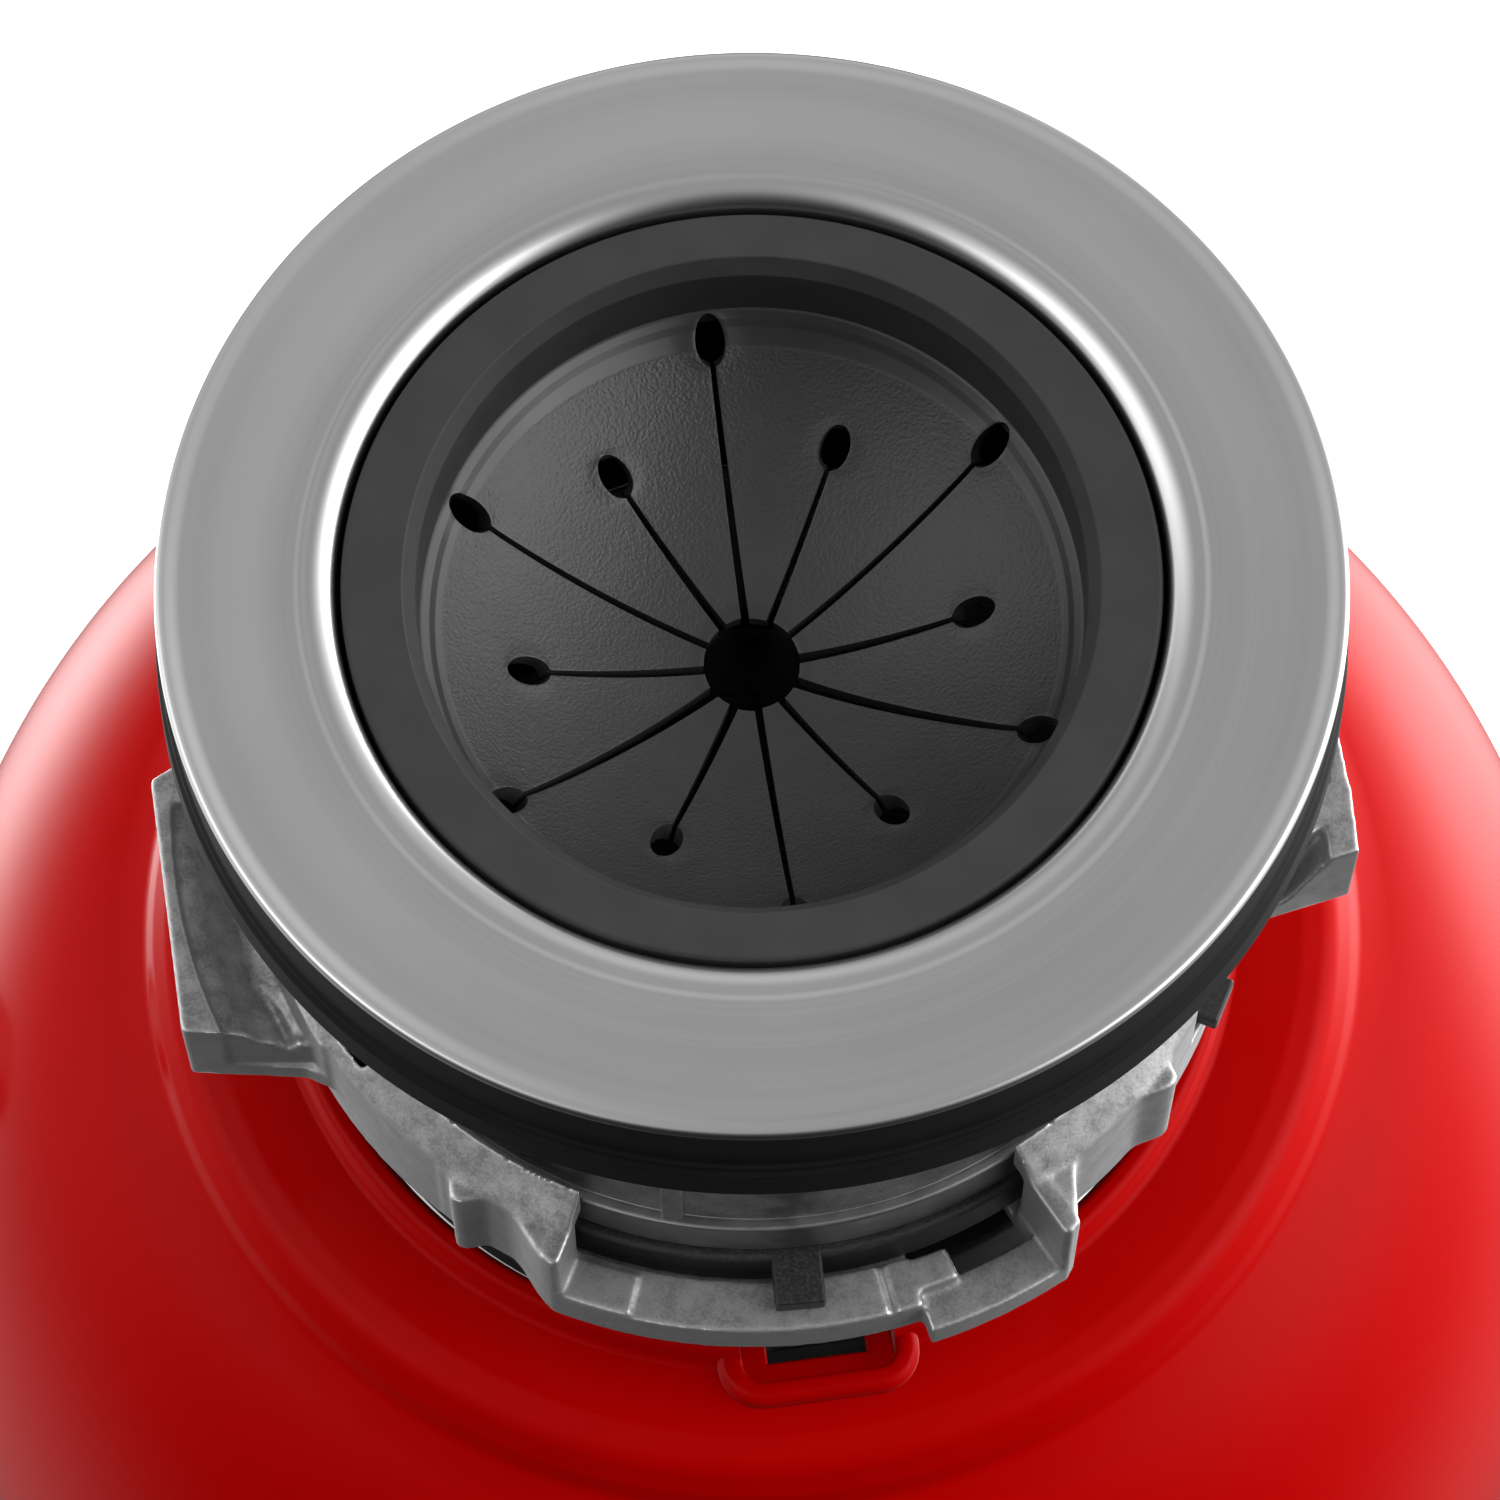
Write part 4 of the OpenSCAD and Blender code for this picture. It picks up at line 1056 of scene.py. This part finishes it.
def camera():
    """Looks down on the mount from the front, as a product photograph does."""
    elevation, distance, drop, aside = math.radians(66.84), 0.56, 0.01714, 0.00018
    ahead = Vector((0, math.cos(elevation), -math.sin(elevation)))
    up = Vector((0, math.sin(elevation), math.cos(elevation)))
    lens = bpy.data.cameras.new("camera")
    lens.sensor_width, lens.lens = 36, 140.76
    lens.clip_start, lens.clip_end = 0.01, 20
    obj = bpy.data.objects.new("camera", lens)
    obj.location = Vector((0, 0, RIM * MM)) - ahead * distance - up * drop - Vector((aside, 0, 0))
    obj.rotation_mode = "QUATERNION"
    obj.rotation_quaternion = ahead.to_track_quat("-Z", "Y")
    bpy.context.scene.collection.objects.link(obj)
    bpy.context.scene.camera = obj


def softbox(name, place_at, size, power, aim=(0, 0, 0.25)):
    """A rectangular area light that faces the object. Places and sizes are metres."""
    light = bpy.data.lights.new(name, "AREA")
    light.shape, light.size, light.size_y = "RECTANGLE", *size
    light.energy = power
    obj = bpy.data.objects.new(name, light)
    obj.location = place_at
    obj.rotation_euler = (Vector(aim) - Vector(place_at)).to_track_quat("-Z", "Y").to_euler()
    bpy.context.scene.collection.objects.link(obj)
    return obj


# Soft glows in the air round the object: degrees round from the back, degrees up, strength, tightness
GLOWS = [(52, -12, 8.5, 16), (-43, -26, 7.5, 16), (38, -38, 2.2, 22), (90, 30, 3.2, 9),
         (-90, 50, 1.5, 9), (-80, 15, 0.9, 9), (-90, -30, 0.7, 9), (90, -30, 0.7, 9),
         (0, 30, 0.55, 9), (90, 50, 0.35, 9), (0, 50, 0.11, 9), (60, 10, 0.8, 9)]
DARKEST = 0.02


def air():
    """The light all round: a sum of soft glows."""
    world = bpy.data.worlds.new("studio")
    world.use_nodes = True
    tree = world.node_tree
    way = tree.nodes.new("ShaderNodeTexCoord").outputs["Generated"]
    total = None
    for turn, rise, strength, tightness in GLOWS:
        turn, rise = math.radians(turn), math.radians(rise)
        facing = tree.nodes.new("ShaderNodeVectorMath")
        facing.operation = "DOT_PRODUCT"
        facing.inputs[1].default_value = (math.sin(turn) * math.cos(rise),
                                          math.cos(turn) * math.cos(rise), math.sin(rise))
        tree.links.new(way, facing.inputs[0])
        fade = tree.nodes.new("ShaderNodeMath")
        fade.operation = "MULTIPLY_ADD"
        fade.inputs[1].default_value, fade.inputs[2].default_value = tightness, -tightness
        tree.links.new(facing.outputs["Value"], fade.inputs[0])
        glow = tree.nodes.new("ShaderNodeMath")
        glow.operation = "EXPONENT"
        tree.links.new(fade.outputs[0], glow.inputs[0])
        sum_up = tree.nodes.new("ShaderNodeMath")
        sum_up.operation = "MULTIPLY_ADD"
        tree.links.new(glow.outputs[0], sum_up.inputs[0])
        sum_up.inputs[1].default_value = strength
        if total is None:
            sum_up.inputs[2].default_value = DARKEST
        else:
            tree.links.new(total, sum_up.inputs[2])
        total = sum_up.outputs[0]
    tree.links.new(total, tree.nodes["Background"].inputs["Strength"])
    tree.nodes["Background"].inputs["Color"].default_value = (1, 1, 1, 1)
    return world


def only(name, light, *receivers):
    """Lets a light fall on some objects alone."""
    group = bpy.data.collections.new(name)
    for receiver in receivers:
        group.objects.link(bpy.data.objects[receiver])
    light.light_linking.receiver_collection = group


def studio():
    """The pale floor and the lights. Small softboxes lift single pieces, where the photo shows it."""
    half = 4000
    corners = [(-half, -half, 0), (half, -half, 0), (half, half, 0), (-half, half, 0)]
    floor = make("floor", corners, [(0, 1, 2, 3)])
    look = Look("pale_floor", rough=0.9)
    look.tones(look.noise(400, 3), (0.3, grey(0.90)), (0.7, grey(0.93)))
    floor.data.materials.append(look.material)
    floor.visible_glossy = floor.visible_diffuse = floor.visible_shadow = False
    for obj in bpy.data.objects:
        if obj.name.startswith("upper_shell"):
            obj.visible_glossy = obj.visible_diffuse = False
    bpy.context.scene.world = air()
    only("floor_light", softbox("floor_light", (0, 0.2, 2.6), (5, 5), 260), "floor")
    for side, power in ((1, 0.8), (-1, 0.7)):
        box = softbox("flange_box", (side * 0.85, -0.34, 1.2), (0.5, 0.8), power)
        only("flange_light", box, "sink_flange_sheet")
    front = softbox("casting_box", (-0.5, -1.0, 0.75), (0.8, 0.6), 1.6)
    only("casting_light", front, "lock_ring_casting", "mounting_ring_casting", "cushion_collar_ring")
    only("sheen_light", softbox("sheen_box", (0.85, -0.66, 1.06), (0.8, 0.8), 5), "guard_flaps")
    bpy.context.scene.view_settings.view_transform = "Standard"


# ---------------------------------------------------------------- the object

sink_flange()
guard_rim()
guard_flaps()
gaskets()
mounting_ring()
lock_ring()
cushion_collar()
neck_boot()
upper_shell()
port_insert()
body_bands()
elbow()
discharge_plate()
side_screws()
reset_and_gland()

for name, node in frame["nodes"].items():
    node.data.materials.clear()
    node.data.materials.append(LOOKS[SLOT_OF[name]])

camera()
studio()

bpy.context.view_layer.update()
